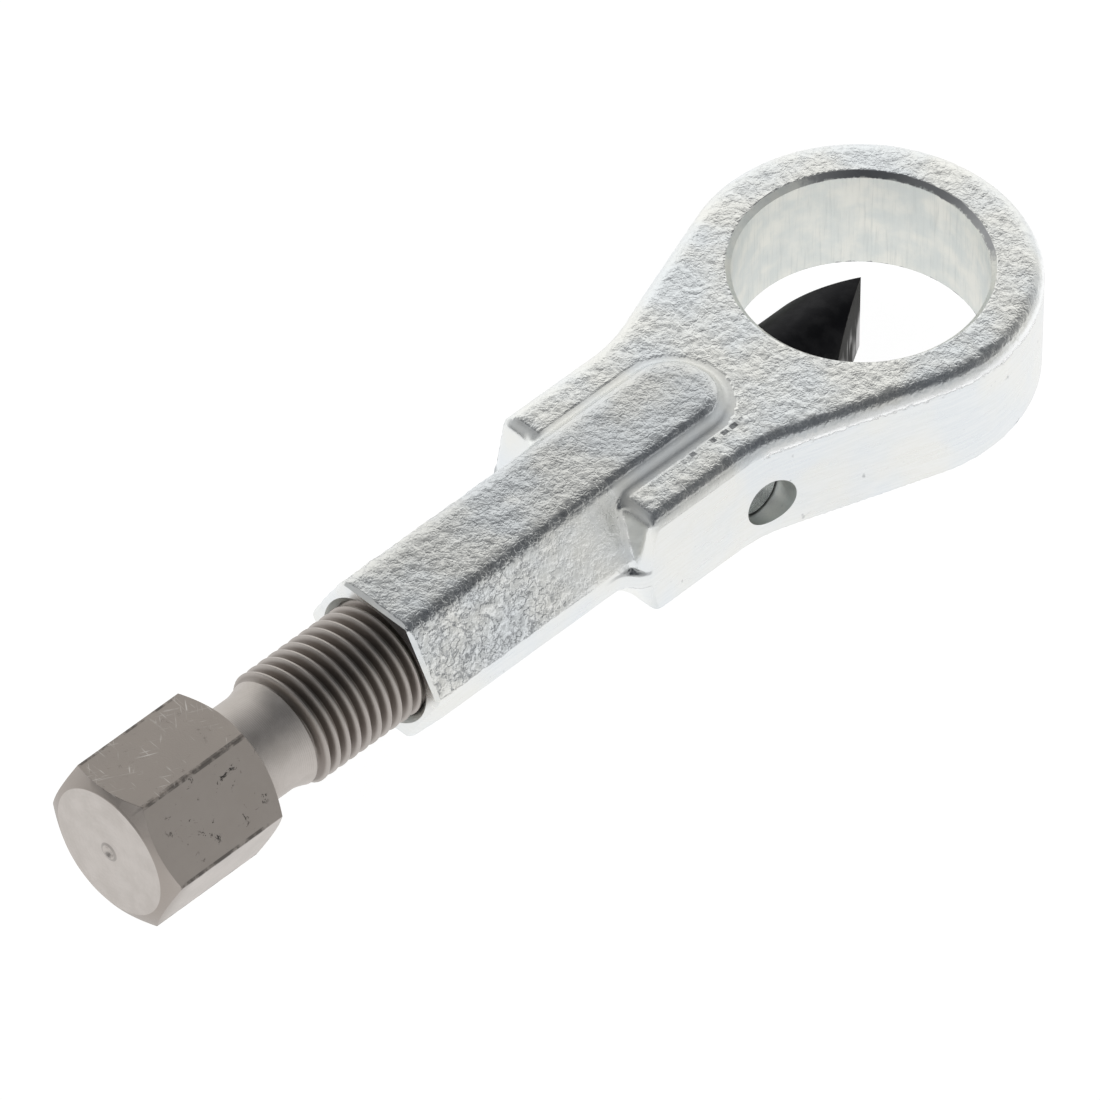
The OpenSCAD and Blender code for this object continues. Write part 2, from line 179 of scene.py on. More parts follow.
class Graph:
    """The node tree of one material or world."""

    def __init__(self, owner: bpy.types.Material | bpy.types.World) -> None:
        """Empties the owner's node tree.

        Args:
            owner: The material or the world.
        """
        owner.use_nodes = True
        self.tree = owner.node_tree
        self.tree.nodes.clear()

    def node(
        self,
        kind: str,
        settings: dict[str, object] | None = None,
        inputs: dict[str | int, object] | None = None,
        output: str | int = 0,
    ) -> Wire:
        """Adds a node.

        Args:
            kind: The node's type.
            settings: Properties of the node, which are set first.
            inputs: Values or wires for its sockets, by name or number.
            output: The output that is given back.

        Returns:
            The wire from that output, or None from a node that ends a graph.
        """
        node = self.tree.nodes.new(kind)
        for key, value in (settings or {}).items():
            setattr(node, key, value)
        for key, value in (inputs or {}).items():
            socket = node.inputs[key]
            if isinstance(value, Wire):
                self.tree.links.new(value.socket, socket)
            elif socket.type == "RGBA" and len(value) == 3:
                socket.default_value = (*value, 1.0)
            else:
                socket.default_value = value
        return Wire(self, node.outputs[output]) if len(node.outputs) else None

    def math(self, operation: str, *values: Wire | float) -> Wire:
        """Adds a Math node on some values."""
        return self.node("ShaderNodeMath", {"operation": operation}, dict(enumerate(values)))

    def blend(self, share: Wire | float, low: Wire | Colour, high: Wire | Colour) -> Wire:
        """Mixes two colours: all low at a share of 0, all high at 1."""
        return self.node("ShaderNodeMix", {"data_type": "RGBA"}, {0: share, 6: low, 7: high}, 2)

    def place(self) -> Wire:
        """Gives the place on the piece as a vector in millimetres."""
        spot = self.node("ShaderNodeTexCoord", output="Object")
        return self.scaled(spot, (1 / MM, 1 / MM, 1 / MM))

    def scaled(self, vector: Wire, factors: Point) -> Wire:
        """Stretches a vector by one factor for each axis."""
        return self.node("ShaderNodeVectorMath", {"operation": "MULTIPLY"}, {0: vector, 1: factors})

    def turned(self, vector: Wire, axis: str, angle: float) -> Wire:
        """Turns a vector about X, Y or Z by an angle in radians."""
        settings = {"rotation_type": f"{axis}_AXIS"}
        return self.node("ShaderNodeVectorRotate", settings, {"Vector": vector, "Angle": angle})

    def split(self, vector: Wire) -> tuple[Wire, Wire, Wire]:
        """Gives a vector's X, Y and Z."""
        parts = self.node("ShaderNodeSeparateXYZ", inputs={0: vector})
        return parts, parts.output("Y"), parts.output("Z")

    def noise(
        self,
        vector: Wire,
        scale: float,
        detail: float = 2.0,
        rough: float = 0.5,
        bend: float = 0.0,
    ) -> Wire:
        """Adds a noise pattern.

        Args:
            vector: The place that it reads.
            scale: Its features for each millimetre.
            detail: How many finer layers it has.
            rough: How strong the finer layers are.
            bend: How far it is warped by itself.

        Returns:
            A value around 0.5.
        """
        inputs = {"Vector": vector, "Scale": scale, "Detail": detail, "Roughness": rough, "Distortion": bend}
        return self.node("ShaderNodeTexNoise", inputs=inputs)

    def bump(self, height: Wire, depth: float, under: Wire | None = None) -> Wire:
        """Adds a bump.

        Args:
            height: The height, from 0 to 1.
            depth: The height in millimetres at 1.
            under: A normal that this bump sits on.

        Returns:
            The bumped normal.
        """
        inputs = {"Height": height, "Distance": depth * MM, "Strength": 1.0}
        if under:
            inputs["Normal"] = under
        return self.node("ShaderNodeBump", inputs=inputs)

    def metal(self, **sockets: object) -> None:
        """Ends the graph in a metal surface; a socket's name is written with _ for a space."""
        inputs = {"Metallic": 1.0, **{key.replace("_", " "): value for key, value in sockets.items()}}
        self.finish(self.node("ShaderNodeBsdfPrincipled", inputs=inputs))

    def finish(self, shader: Wire, kind: str = "Material") -> None:
        """Ends the graph in its output."""
        self.node(f"ShaderNodeOutput{kind}", inputs={"Surface": shader})


class Bench:
    """Modelling steps, each on one piece."""

    @staticmethod
    def clear() -> None:
        """Deselects everything, the CAD nodes too."""
        bpy.ops.object.select_all(action="DESELECT")

    @staticmethod
    def pick(piece: bpy.types.Object) -> None:
        """Selects one object alone and makes it active.

        Args:
            piece: The object.
        """
        Bench.clear()
        piece.select_set(True)
        bpy.context.view_layer.objects.active = piece

    @staticmethod
    @contextmanager
    def editing(piece: bpy.types.Object) -> Iterator[None]:
        """Opens a piece in edit mode with everything selected, and closes it again.

        Args:
            piece: The piece.

        Returns:
            The context that edit-mode operators run in.
        """
        Bench.pick(piece)
        bpy.ops.object.mode_set(mode="EDIT")
        bpy.ops.mesh.select_mode(type="VERT")
        bpy.ops.mesh.select_all(action="SELECT")
        yield
        bpy.ops.object.mode_set(mode="OBJECT")

    @staticmethod
    def added(name: str) -> bpy.types.Object:
        """Names the primitive that was added last and puts its place into its mesh.

        Args:
            name: The piece's name.

        Returns:
            The piece, with its object at the origin.
        """
        piece = bpy.context.active_object
        piece.name = name
        piece.data.name = name
        Bench.pick(piece)
        bpy.ops.object.transform_apply(location=True, rotation=True, scale=True)
        return piece

    @staticmethod
    def rod(name: str, ends: tuple[Point, Point], radius: float, sides: int = 96) -> bpy.types.Object:
        """Adds a round bar.

        Args:
            name: The piece's name.
            ends: The middles of its two ends.
            radius: Its radius.
            sides: Steps in a full turn.

        Returns:
            The closed bar.
        """
        start, stop = (Vector(end) * MM for end in ends)
        along = stop - start
        Bench.clear()
        bpy.ops.mesh.primitive_cylinder_add(
            vertices=sides,
            radius=radius * MM,
            depth=along.length,
            location=(start + stop) / 2,
            rotation=along.to_track_quat("Z", "Y").to_euler(),
        )
        return Bench.added(name)

    @staticmethod
    def chain(name: str, points: Sequence[Point]) -> bpy.types.Object:
        """Draws a line through points by extruding one vertex from each to the next.

        Args:
            name: The piece's name.
            points: The points, in order.

        Returns:
            The open line.
        """
        Bench.clear()
        bpy.ops.mesh.primitive_plane_add(size=MM, location=Vector(points[0]) * MM)
        piece = Bench.added(name)
        with Bench.editing(piece):
            bpy.ops.mesh.merge(type="CENTER")
            for here, there in zip(points, points[1:]):
                step = (Vector(there) - Vector(here)) * MM
                bpy.ops.mesh.extrude_region_move(TRANSFORM_OT_translate={"value": step})
        return piece

    @staticmethod
    def turned(name: str, profile: Sequence[Spot], axis: str, sides: int = 128) -> bpy.types.Object:
        """Turns a solid about an axis through the origin.

        Args:
            name: The piece's name.
            profile: Points as a distance along the axis and a radius, from axis to axis.
            axis: X or Z.
            sides: Steps in a full turn.

        Returns:
            The closed solid.
        """
        along = {"X": lambda a, r: (a, r, 0), "Z": lambda a, r: (r, 0, a)}[axis]
        piece = Bench.chain(name, [along(a, r) for a, r in profile])
        with Bench.editing(piece):
            turn = {"X": (1, 0, 0), "Z": (0, 0, 1)}[axis]
            bpy.ops.mesh.spin(steps=sides, angle=math.tau, center=(0, 0, 0), axis=turn)
        Bench.weld(piece)
        return piece

    @staticmethod
    def weld(piece: bpy.types.Object, gap: float = 0.001) -> None:
        """Merges vertices that lie close together and turns the faces outwards.

        Args:
            piece: The piece.
            gap: The distance within which vertices are merged.
        """
        with Bench.editing(piece):
            bpy.ops.mesh.remove_doubles(threshold=gap * MM)
            bpy.ops.mesh.normals_make_consistent(inside=False)

    @staticmethod
    def prism(name: str, outline: Sequence[Point], step: Point, growth: float = 1.0) -> bpy.types.Object:
        """Extrudes a flat outline.

        Args:
            name: The piece's name.
            outline: The outline's corners, in order.
            step: How far and which way it is extruded.
            growth: The far end's size against the near end's, about the origin.

        Returns:
            The closed solid.
        """
        piece = Bench.chain(name, outline)
        with Bench.editing(piece):
            bpy.ops.mesh.edge_face_add()
            bpy.ops.mesh.extrude_region_move(TRANSFORM_OT_translate={"value": Vector(step) * MM})
            if growth != 1.0:
                across = [1.0 if part else growth for part in step]
                bpy.ops.transform.resize(value=across, center_override=(0, 0, 0))
        Bench.weld(piece)
        return piece

    @staticmethod
    def modify(piece: bpy.types.Object, kind: str, **settings: object) -> None:
        """Adds a modifier and applies it.

        Args:
            piece: The piece.
            kind: The modifier's type.
            settings: The modifier's properties.
        """
        modifier = piece.modifiers.new(kind.lower(), kind)
        for key, value in settings.items():
            setattr(modifier, key, value)
        Bench.pick(piece)
        bpy.ops.object.modifier_apply(modifier=modifier.name)

    @staticmethod
    def cut(
        piece: bpy.types.Object,
        tool: bpy.types.Object,
        operation: str = "DIFFERENCE",
        solver: str = "EXACT",
    ) -> None:
        """Cuts a piece with a tool or joins the tool's shape to it, and removes the tool.

        Args:
            piece: The piece.
            tool: The tool, whose material stays on the cut.
            operation: The Boolean modifier's operation.
            solver: The Boolean modifier's solver.
        """
        settings = {"operation": operation, "object": tool, "solver": solver, "material_mode": "TRANSFER"}
        Bench.modify(piece, "BOOLEAN", **settings)
        bpy.data.objects.remove(tool)

    @staticmethod
    def copy_of(node: str, name: str) -> bpy.types.Object:
        """Makes a welded copy of a CAD node's mesh, without its material.

        Args:
            node: The CAD node.
            name: The copy's name.

        Returns:
            The copy.
        """
        piece = bpy.data.objects.new(name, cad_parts[node].data.copy())
        bpy.context.scene.collection.objects.link(piece)
        piece.data.name = name
        piece.data.materials.clear()
        Bench.weld(piece)
        return piece

    @staticmethod
    def join(piece: bpy.types.Object, *others: bpy.types.Object) -> None:
        """Puts other objects' meshes into a piece.

        Args:
            piece: The piece.
            others: The objects that end in it.
        """
        Bench.pick(piece)
        for other in others:
            other.select_set(True)
        bpy.ops.object.join()

    @staticmethod
    def group(piece: bpy.types.Object, name: str, weight: Callable[[Vector, Vector], float]) -> None:
        """Fills a vertex group, and an attribute with the same values.

        Args:
            piece: The piece.
            name: The group's name. The attribute's ends in _share.
            weight: Gives a vertex's weight from its place in millimetres and its normal.
        """
        group = piece.vertex_groups.new(name=name)
        weights = [weight(vertex.co / MM, vertex.normal) for vertex in piece.data.vertices]
        for index, value in enumerate(weights):
            group.add([index], value, "REPLACE")
        attribute = piece.data.attributes.new(f"{name}_share", "FLOAT", "POINT")
        attribute.data.foreach_set("value", weights)

    @staticmethod
    def ease_edges(piece: bpy.types.Object, width: float, angle: float = 25.0) -> None:
        """Bevels a piece's sharp edges, keeps its flats flat and smooths the rest.

        Args:
            piece: The piece.
            width: The bevel's width.
            angle: The angle in degrees from which an edge is sharp.
        """
        Bench.modify(
            piece,
            "BEVEL",
            width=width * MM,
            segments=2,
            limit_method="ANGLE",
            angle_limit=math.radians(angle),
            use_clamp_overlap=True,
        )
        Bench.smooth(piece, angle)

    @staticmethod
    def smooth(piece: bpy.types.Object, angle: float) -> None:
        """Shades a piece smooth, except at edges sharper than an angle in degrees."""
        Bench.pick(piece)
        bpy.ops.object.shade_smooth_by_angle(angle=math.radians(angle))

    @staticmethod
    def favour_flats(piece: bpy.types.Object) -> None:
        """Leans the shading towards a piece's large faces, so that its flats look flat."""
        Bench.modify(piece, "WEIGHTED_NORMAL", keep_sharp=True, weight=80)

    @staticmethod
    def dress(piece: bpy.types.Object, material: bpy.types.Material) -> None:
        """Gives a piece one material all over."""
        piece.data.materials.clear()
        piece.data.materials.append(material)

    @staticmethod
    def wear(piece: bpy.types.Object, body: Body, slot: str, *nodes: str) -> None:
        """Lets a finished piece ride on a body and reports it.

        Args:
            piece: The piece.
            body: The body that it moves with.
            slot: Its material slot's name; not used.
            nodes: The CAD nodes that it stands for.
        """
        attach(piece, body.value)
        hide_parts(*nodes)
        log.info("%s: %d faces, on %s", piece.name, len(piece.data.polygons), body.value)


def arc(centre: Spot, radius: float, start: float, stop: float, steps: int) -> list[Spot]:
    """Gives points on an arc, with its angles in radians."""
    angles = [start + (stop - start) * i / steps for i in range(steps + 1)]
    return [(centre[0] + radius * math.cos(a), centre[1] + radius * math.sin(a)) for a in angles]


def soft(share: float) -> float:
    """Bends a share from 0 to 1 so that it starts and ends level."""
    return share * share * (3 - 2 * share)


def box_of(node: str) -> tuple[Vector, Vector]:
    """Gives the lowest and the highest corner of a CAD node, in millimetres."""
    low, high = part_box(node)
    return low / MM, high / MM


def new_material(name: str) -> tuple[bpy.types.Material, Graph]:
    """Makes an empty material and the graph that fills it."""
    material = bpy.data.materials.new(name)
    return material, Graph(material)


@dataclass(frozen=True)
class ZincFinish:
    """Bright zinc plating on the three kinds of surface of the forging."""

    cool: Colour = (0.78, 0.81, 0.83)
    warm: Colour = (0.83, 0.83, 0.80)
    # Dark colour for pitting and nicks, and for painted shade in the forging's creases and hollows
    pit: Colour = (0.26, 0.27, 0.285)
    burr: Colour = (0.95, 0.96, 0.96)
    drawn: Colour = (0.90, 0.91, 0.91)
    bored: Colour = (0.76, 0.79, 0.77)
    bored_warm: Colour = (0.88, 0.88, 0.83)
    bored_line: Colour = (0.62, 0.65, 0.64)
    # Painted dark reflection on the eye's chamfered edges
    rim: Colour = (0.33, 0.335, 0.345)
    # Dark colour of painted shade: the shadow under a shoulder's ledge and the shaded dashes beside the crest
    seam: Colour = (0.14, 0.145, 0.155)

    # Patterns: features for each millimetre, and depths
    lumps: float = 1.4
    veins: float = 0.8
    wrinkle_depth: float = 0.15
    grain: float = 4.5
    grain_depth: float = 0.03
    heave_depth: float = 0.12
    draw_depth: float = 0.012
    torn_depth: float = 0.2
    bore_depth: float = 0.008

    # The pressed-smooth places, and the shaft's top, which is duller than the plate
    smooth_share: Step = (0.13, 0.09)
    crest_rear: Step = (-43.5, -42.5)
    top_height: Step = (7.7, 8.3)
    top_dull: float = 0.22

    # The torn edge between the forged skin and the sheared flank
    burr_rear: Step = (-27.5, -26.0)
    burr_edge: Step = (5.9, 6.3)
    strip_edge: Step = (7.2, 6.7)
    strip_foot: Step = (4.0, 4.5)

    # The painted shadow under the ledge at the foot of a shoulder
    seam_height: float = 0.1
    seam_rear: Step = (-48.6, -46.0)
    seam_front: Step = (-43.2, -43.7)
    seam_side: Step = (9.0, 9.4)

    # A short row of painted shade beside the crest: dark dashes where small hollows lie in shadow
    dash_y: float = -6.95
    dash_rear: Step = (-34.0, -33.0)
    dash_front: Step = (-24.5, -25.5)
    dash_height: Step = (6.5, 6.8)

    # The painted dark reflection on the eye's chamfered edges, on one side
    rim_height: Step = (6.9, 7.1)
    rim_side: Step = (9.3, 12.0)
    rim_lean: float = 0.27

    def material(self, skin: Skin) -> bpy.types.Material:
        """Makes the plating's material.

        Args:
            skin: The kind of surface that it is for.

        Returns:
            The material.
        """
        makers = {
            Skin.FORGED: self._forged,
            Skin.TRIMMED: self._trimmed,
            Skin.MACHINED: self._machined,
        }
        material, graph = new_material(f"zinc_{skin.value}")
        makers[skin](graph)
        return material

    def _tint(self, graph: Graph, spot: Wire) -> Wire:
        """Gives the plating's slow change between its cool and its warm tone."""
        return graph.blend(graph.noise(spot, 0.12, 3).rise(0.35, 0.65), self.cool, self.warm)

    def _forged(self, graph: Graph) -> None:
        """Makes the wrinkled skin of the forging, with dark pitting and painted shade in the creases and
        hollows of its wrinkles.

        Args:
            graph: The material's graph.
        """
        spot = graph.place()
        x, _, z = graph.split(spot)
        rough = graph.node("ShaderNodeAttribute", {"attribute_name": f"{ROUGH}_share"}, output="Fac")
        lump = graph.noise(spot, self.lumps, 2, 0.55)
        vein = abs(graph.noise(spot, self.veins, 3, 0.55) * 2 - 1).rise(0.0, 0.13)
        grain = graph.noise(spot, self.grain, 2, 0.6)
        # Dark pitting, and painted shade: darker where the wrinkle bump is low, in its creases and hollows
        pits_and_crease_shade = ((1 - vein) * grain.rise(0.36, 0.56)).at_least(lump.rise(0.46, 0.32)) * rough * rough
        colour = graph.blend(pits_and_crease_shade * 0.75, self._tint(graph, spot), self.pit)
        colour = graph.blend(z.rise(*self.top_height) * self.top_dull, colour, self.pit)
        colour = graph.blend(self._torn_strip(graph, spot), colour, self.burr)
        # Painted shadow under the shoulder's ledge
        colour = graph.blend(self._seam(graph, spot), colour, self.seam)
        # Painted shade: a row of dark dashes beside the crest
        colour = graph.blend(self._dashes(graph, spot), colour, self.seam)
        pressed = rough.rise(*self.smooth_share) * (x.rise(*self.crest_rear) * 0.3 - 0.12)
        wrinkles = graph.bump((lump + vein * 0.25) * rough, self.wrinkle_depth)
        graph.metal(
            Base_Color=colour,
            Roughness=grain * 0.2 + 0.2 + pressed,
            Normal=graph.bump(grain * (rough * 0.8 + 0.2), self.grain_depth, wrinkles),
        )

    def _seam(self, graph: Graph, spot: Wire) -> Wire:
        """Finds the painted shadow under the ledge at the foot of a shoulder.

        Args:
            graph: The material's graph.
            spot: The place on the piece.

        Returns:
            How much of the painted shadow shows, from 0 to 1.
        """
        x, y, z = graph.split(spot)
        near = abs(z - self.seam_height + graph.noise(spot, 0.8, 2) * 0.3).rise(0.4, 0.1)
        return near * x.rise(*self.seam_rear) * x.rise(*self.seam_front) * abs(y).rise(*self.seam_side) * 0.5

    def _torn_strip(self, graph: Graph, spot: Wire) -> Wire:
        """Finds the bare, torn strip just above the sheared flank.

        Args:
            graph: The material's graph.
            spot: The place on the piece.

        Returns:
            How bare the skin is, from 0 to 1.
        """
        x, _, z = graph.split(spot)
        torn = graph.noise(graph.scaled(spot, (1.2, 1.2, 2.2)), 1.0, 4, 0.7)
        strip = (z + torn * 1.6).rise(*self.strip_edge) * z.rise(*self.strip_foot)
        return strip * x.rise(*self.burr_rear)

    def _dashes(self, graph: Graph, spot: Wire) -> Wire:
        """Finds a short row of dark dashes of painted shade on the plate beside the crest.

        Args:
            graph: The material's graph.
            spot: The place on the piece.

        Returns:
            How dark a dash is, from 0 to 1.
        """
        x, y, z = graph.split(spot)
        row = abs(y - self.dash_y + graph.noise(spot, 0.5, 1) * 0.4).rise(0.4, 0.25)
        pieces = graph.noise(graph.scaled(spot, (1.0, 0.2, 0.2)), 1.0, 2).rise(0.46, 0.50)
        stretch = x.rise(*self.dash_rear) * x.rise(*self.dash_front) * z.rise(*self.dash_height)
        return row * pieces * stretch * 0.85

    def _trimmed(self, graph: Graph) -> None:
        """Makes the sheared flank: smooth and pale, with faint draw marks, a few grey nicks and the painted
        shadow under a shoulder's ledge.

        Args:
            graph: The material's graph.
        """
        spot = graph.place()
        x, _, z = graph.split(spot)
        streak = graph.noise(graph.scaled(spot, (0.25, 0.25, 3.0)), 1.0, 3, 0.6)
        nick = graph.noise(graph.scaled(spot, (0.7, 0.7, 0.5)), 1.0, 2, 0.5).rise(0.70, 0.76)
        torn = graph.noise(graph.scaled(spot, (1.2, 1.2, 2.2)), 1.0, 3, 0.65)
        burr = (z + torn * 1.6).rise(*self.burr_edge) * x.rise(*self.burr_rear)
        colour = graph.blend(nick * 0.5, self._tint(graph, spot), self.pit)
        colour = graph.blend(streak.rise(0.35, 0.65) * 0.4, colour, self.drawn)
        colour = graph.blend(burr, colour, self.burr)
        heave = graph.bump(graph.noise(spot, 0.35, 1), self.heave_depth)
        marks = graph.bump(streak, self.draw_depth, heave)
        graph.metal(
            # Painted shadow under the shoulder's ledge, where it reaches the flank
            Base_Color=graph.blend(self._seam(graph, spot), colour, self.seam),
            Roughness=streak * 0.2 + 0.2 - burr * 0.1,
            Normal=graph.bump(torn * burr, self.torn_depth, marks),
        )

    def _machined(self, graph: Graph) -> None:
        """Makes the bored walls: matt, with fine lines along the eye's axis and a painted dark reflection on
        one side of the eye's chamfered edges.

        Args:
            graph: The material's graph.
        """
        spot = graph.place()
        x, y, z = graph.split(spot)
        line = graph.noise(graph.scaled(spot, (4.0, 4.0, 0.2)), 1.0, 3, 0.6)
        cloud = graph.noise(spot, 0.35, 3)
        colour = graph.blend(cloud.rise(0.3, 0.7), self.bored, self.bored_warm)
        colour = graph.blend(line.rise(0.5, 0.75) * 0.35, colour, self.bored_line)
        ragged = graph.noise(spot, 1.0, 4, 0.7) * 1.2
        # Painted dark reflection: the eye's chamfered edges are darkened on one side only, which this step
        # along X and Y picks
        worn = (x + y * self.rim_lean + ragged * 3).rise(*self.rim_side)
        rim = (abs(z) + ragged).rise(*self.rim_height) * worn
        graph.metal(
            Base_Color=graph.blend(rim, colour, self.rim),
            Roughness=line * 0.2 + 0.38 - rim * 0.1,
            Normal=graph.bump(line, self.bore_depth),
        )


class SpindleZones:
    """Where a point of the spindle lies: its place, and a wire from 0 to 1 for each zone."""

    def __init__(self, graph: Graph, spindle: "ScrewSpindle") -> None:
        """Finds the zones.

        Args:
            graph: The material's graph.
            spindle: The screw, for the places of its thread and its hexagon.
        """
        self.spot = graph.place()
        self.x, self.y, self.z = graph.split(self.spot)
        self.radius = (self.y * self.y + self.z * self.z) ** 0.5
        self.hexagon = self.x.rise(spindle.neck_end + 0.1, spindle.neck_end - 0.1)
        self.face = self.x.rise(spindle.end + 0.35, spindle.end + 0.2)
        self.thread = self.x.rise(spindle.thread_end - 0.4, spindle.thread_end + 0.6)
        self.crest = self.radius.rise(spindle.outer_radius - 0.5, spindle.outer_radius - 0.1)
        self.edge = self.radius.rise(spindle.corner - 0.20, spindle.corner - 0.15)
        self.top = self._flat(spindle, 30)
        self.beside = self._flat(spindle, 90)
        outside = (self.radius - spindle.face_radius).rise(-0.05, 0.05)
        self.chamfer = self.x.rise(spindle.end + 4.0, spindle.end) * outside

    def _flat(self, spindle: "ScrewSpindle", angle: float) -> Wire:
        """Finds one flat of the hexagon.

        Args:
            spindle: The screw.
            angle: The way the flat looks, in degrees from the hexagon's first corner.

        Returns:
            1 on the flat, 0 elsewhere.
        """
        turn = math.radians(spindle.hex_turn + angle)
        half = spindle.hex_across / 2
        return (self.y * math.cos(turn) + self.z * math.sin(turn)).rise(half - 0.15, half - 0.05)


@dataclass(frozen=True)
class SpindleSteel:
    """Dull warm grey steel, turned on the neck and milled on the hexagon."""

    base: Colour = (0.52, 0.483, 0.452)
    bright: Colour = (0.60, 0.56, 0.53)
    # Painted shade for the hexagon's top and side flats and its chamfer
    browned: Colour = (0.35, 0.31, 0.28)
    # Oiling of the thread, darker in its roots as painted shade
    oiled: Colour = (0.26, 0.23, 0.21)
    # Dark specks and lines on the hexagon, and painted shade in the centre mark
    stain: Colour = (0.07, 0.065, 0.06)
    scratch: Colour = (0.90, 0.88, 0.85)
    scratch_turns: tuple[float, ...] = (0.5, -0.9, 1.7)
    turning_pitch: float = 0.22
    facing_pitch: float = 0.6
    mark_depth: float = 0.01
    grain_depth: float = 0.012

    def material(self, spindle: "ScrewSpindle") -> bpy.types.Material:
        """Makes the steel.

        Args:
            spindle: The screw that wears it, for the places of its thread and its hexagon.

        Returns:
            The material.
        """
        material, graph = new_material("spindle_steel")
        zones = SpindleZones(graph, spindle)
        cloud = graph.noise(zones.spot, 0.4, 4, 0.6)
        fine = graph.bump(graph.noise(zones.spot, 6.0, 2), self.grain_depth)
        graph.metal(
            Base_Color=self._colour(graph, zones, cloud),
            Roughness=cloud * 0.16 + 0.44 - zones.hexagon * 0.08 - zones.thread * 0.1,
            Normal=graph.bump(self._tool_marks(graph, zones), self.mark_depth, fine),
        )
        return material

    def _colour(self, graph: Graph, zones: SpindleZones, cloud: Wire) -> Wire:
        """Gives the steel's colour: the thread darkened by oiling, with painted shade in its roots and a
        painted highlight on its crests; painted shade on the hexagon's top and side flats and its chamfer;
        dark specks, dark edge lines and bright scratches on the hexagon; and painted shade in the centre
        mark.

        Args:
            graph: The material's graph.
            zones: The spindle's zones.
            cloud: A slow noise.

        Returns:
            The colour.
        """
        colour = graph.blend(cloud.rise(0.3, 0.7), self.base, self.bright)
        # Oiling darkens the thread; the crests keep most of the lighter colour as a painted highlight, so the
        # roots carry painted shade
        colour = graph.blend(zones.thread * (1 - zones.crest * 0.7), colour, self.oiled)
        # Painted shade: the top and side flats and the chamfer round the end face are darkened, the lower
        # flat left bright
        flat_shade = (zones.top * 0.85 + zones.beside * 0.7).at_least(zones.chamfer * 0.8)
        colour = graph.blend(flat_shade * zones.hexagon, colour, self.browned)
        colour = graph.blend(self._stains(graph, zones) * zones.hexagon, colour, self.stain)
        scratched = self._scratches(graph, zones.spot) * zones.top * zones.hexagon
        colour = graph.blend(scratched * 0.45, colour, self.scratch)
        # Painted shade in the centre mark: a dark dimple and a dark ring on its raised ring's outer slope
        ring = abs(zones.radius - 1.0).rise(0.2, 0.1) * 0.5
        centre = zones.radius.rise(0.45, 0.25).at_least(ring) * zones.face
        return graph.blend(centre * 0.7, colour, self.stain)

    def _tool_marks(self, graph: Graph, zones: SpindleZones) -> Wire:
        """Gives the rings that the lathe leaves on the end face and round the neck.

        Args:
            graph: The material's graph.
            zones: The spindle's zones.

        Returns:
            Their height, from 0 to 1 on the neck.
        """
        drift = graph.noise(zones.spot, 0.25, 2) * 3
        rings = (zones.radius * (math.tau / self.facing_pitch) + drift).sine() * zones.face * 2
        turns = (zones.x * (math.tau / self.turning_pitch)).sine()
        return (rings + turns * (1 - zones.hexagon) * (1 - zones.thread)) * 0.5 + 0.5

    @staticmethod
    def _stains(graph: Graph, zones: SpindleZones) -> Wire:
        """Finds dark specks in patches on the flats, and broken dark lines along their edges.

        Args:
            graph: The material's graph.
            zones: The spindle's zones.

        Returns:
            How dark a stain is, from 0 to 1.
        """
        patch = graph.noise(zones.spot, 0.25, 2).rise(0.40, 0.56)
        speck = graph.noise(zones.spot, 0.8, 5, 0.75, 0.6).rise(0.59, 0.66) * patch
        broken = graph.noise(zones.spot, 0.5, 4, 0.65).rise(0.42, 0.6)
        return (speck * (zones.top * 0.3 + zones.beside)).at_least(zones.edge * broken * 0.7)

    def _scratches(self, graph: Graph, spot: Wire) -> Wire:
        """Finds thin bright scratches in a few directions, in patches.

        Args:
            graph: The material's graph.
            spot: The place on the piece.

        Returns:
            How bright a scratch is, from 0 to 1.
        """
        total = None
        for angle in self.scratch_turns:
            lying = graph.scaled(graph.turned(spot, "Z", angle), (0.22, 4.0, 0.22))
            line = graph.noise(lying, 1.0, 2, 0.5, 0.3).rise(0.64, 0.72)
            total = line if total is None else total.at_least(line)
        return total * graph.noise(spot, 0.3, 2).rise(0.46, 0.6)


@dataclass(frozen=True)
class ChiselSteel:
    """Blackened tool steel, bare on its two ground faces, which carry a painted dark reflection and a painted
    highlight low down.
    """

    black: Colour = (0.018, 0.018, 0.020)
    worn: Colour = (0.05, 0.05, 0.052)
    # Bare ground steel, shown in the painted highlight
    ground: Colour = (0.42, 0.415, 0.415)
    # Painted dark reflection over the ground faces
    smear: Colour = (0.06, 0.058, 0.056)
    grain_depth: float = 0.012
    bright_height: Step = (3.2, 0.4)

    def material(self, half_angle: float) -> bpy.types.Material:
        """Makes the steel of a chisel whose edge is at X = 0.

        Args:
            half_angle: Half the angle between the ground faces, in radians.

        Returns:
            The material.
        """
        material, graph = new_material("chisel_steel")
        spot = graph.place()
        x, y, z = graph.split(spot)
        depth = abs(y) * math.cos(half_angle) + x * math.sin(half_angle)
        ground = depth.rise(-0.06, -0.03)
        cloud = graph.noise(spot, 0.6, 3)
        streak = graph.noise(graph.scaled(spot, (0.5, 0.5, 0.12)), 1.1, 2, 0.5)
        # Painted highlight: a bright streaky patch low on the ground faces; elsewhere they carry the painted
        # dark reflection
        patch = streak.rise(0.40, 0.60) * (z + cloud * 3).rise(*self.bright_height)
        bare = graph.blend(patch, self.smear, self.ground)
        skin = graph.blend(cloud.rise(0.4, 0.7) * 0.4, self.black, self.worn)
        graph.metal(
            Base_Color=graph.blend(ground, skin, bare),
            Roughness=cloud * 0.15 + 0.42 + ground * (0.24 - patch * 0.4),
            Normal=graph.bump(graph.noise(spot, 5.0, 2), self.grain_depth),
        )
        return material


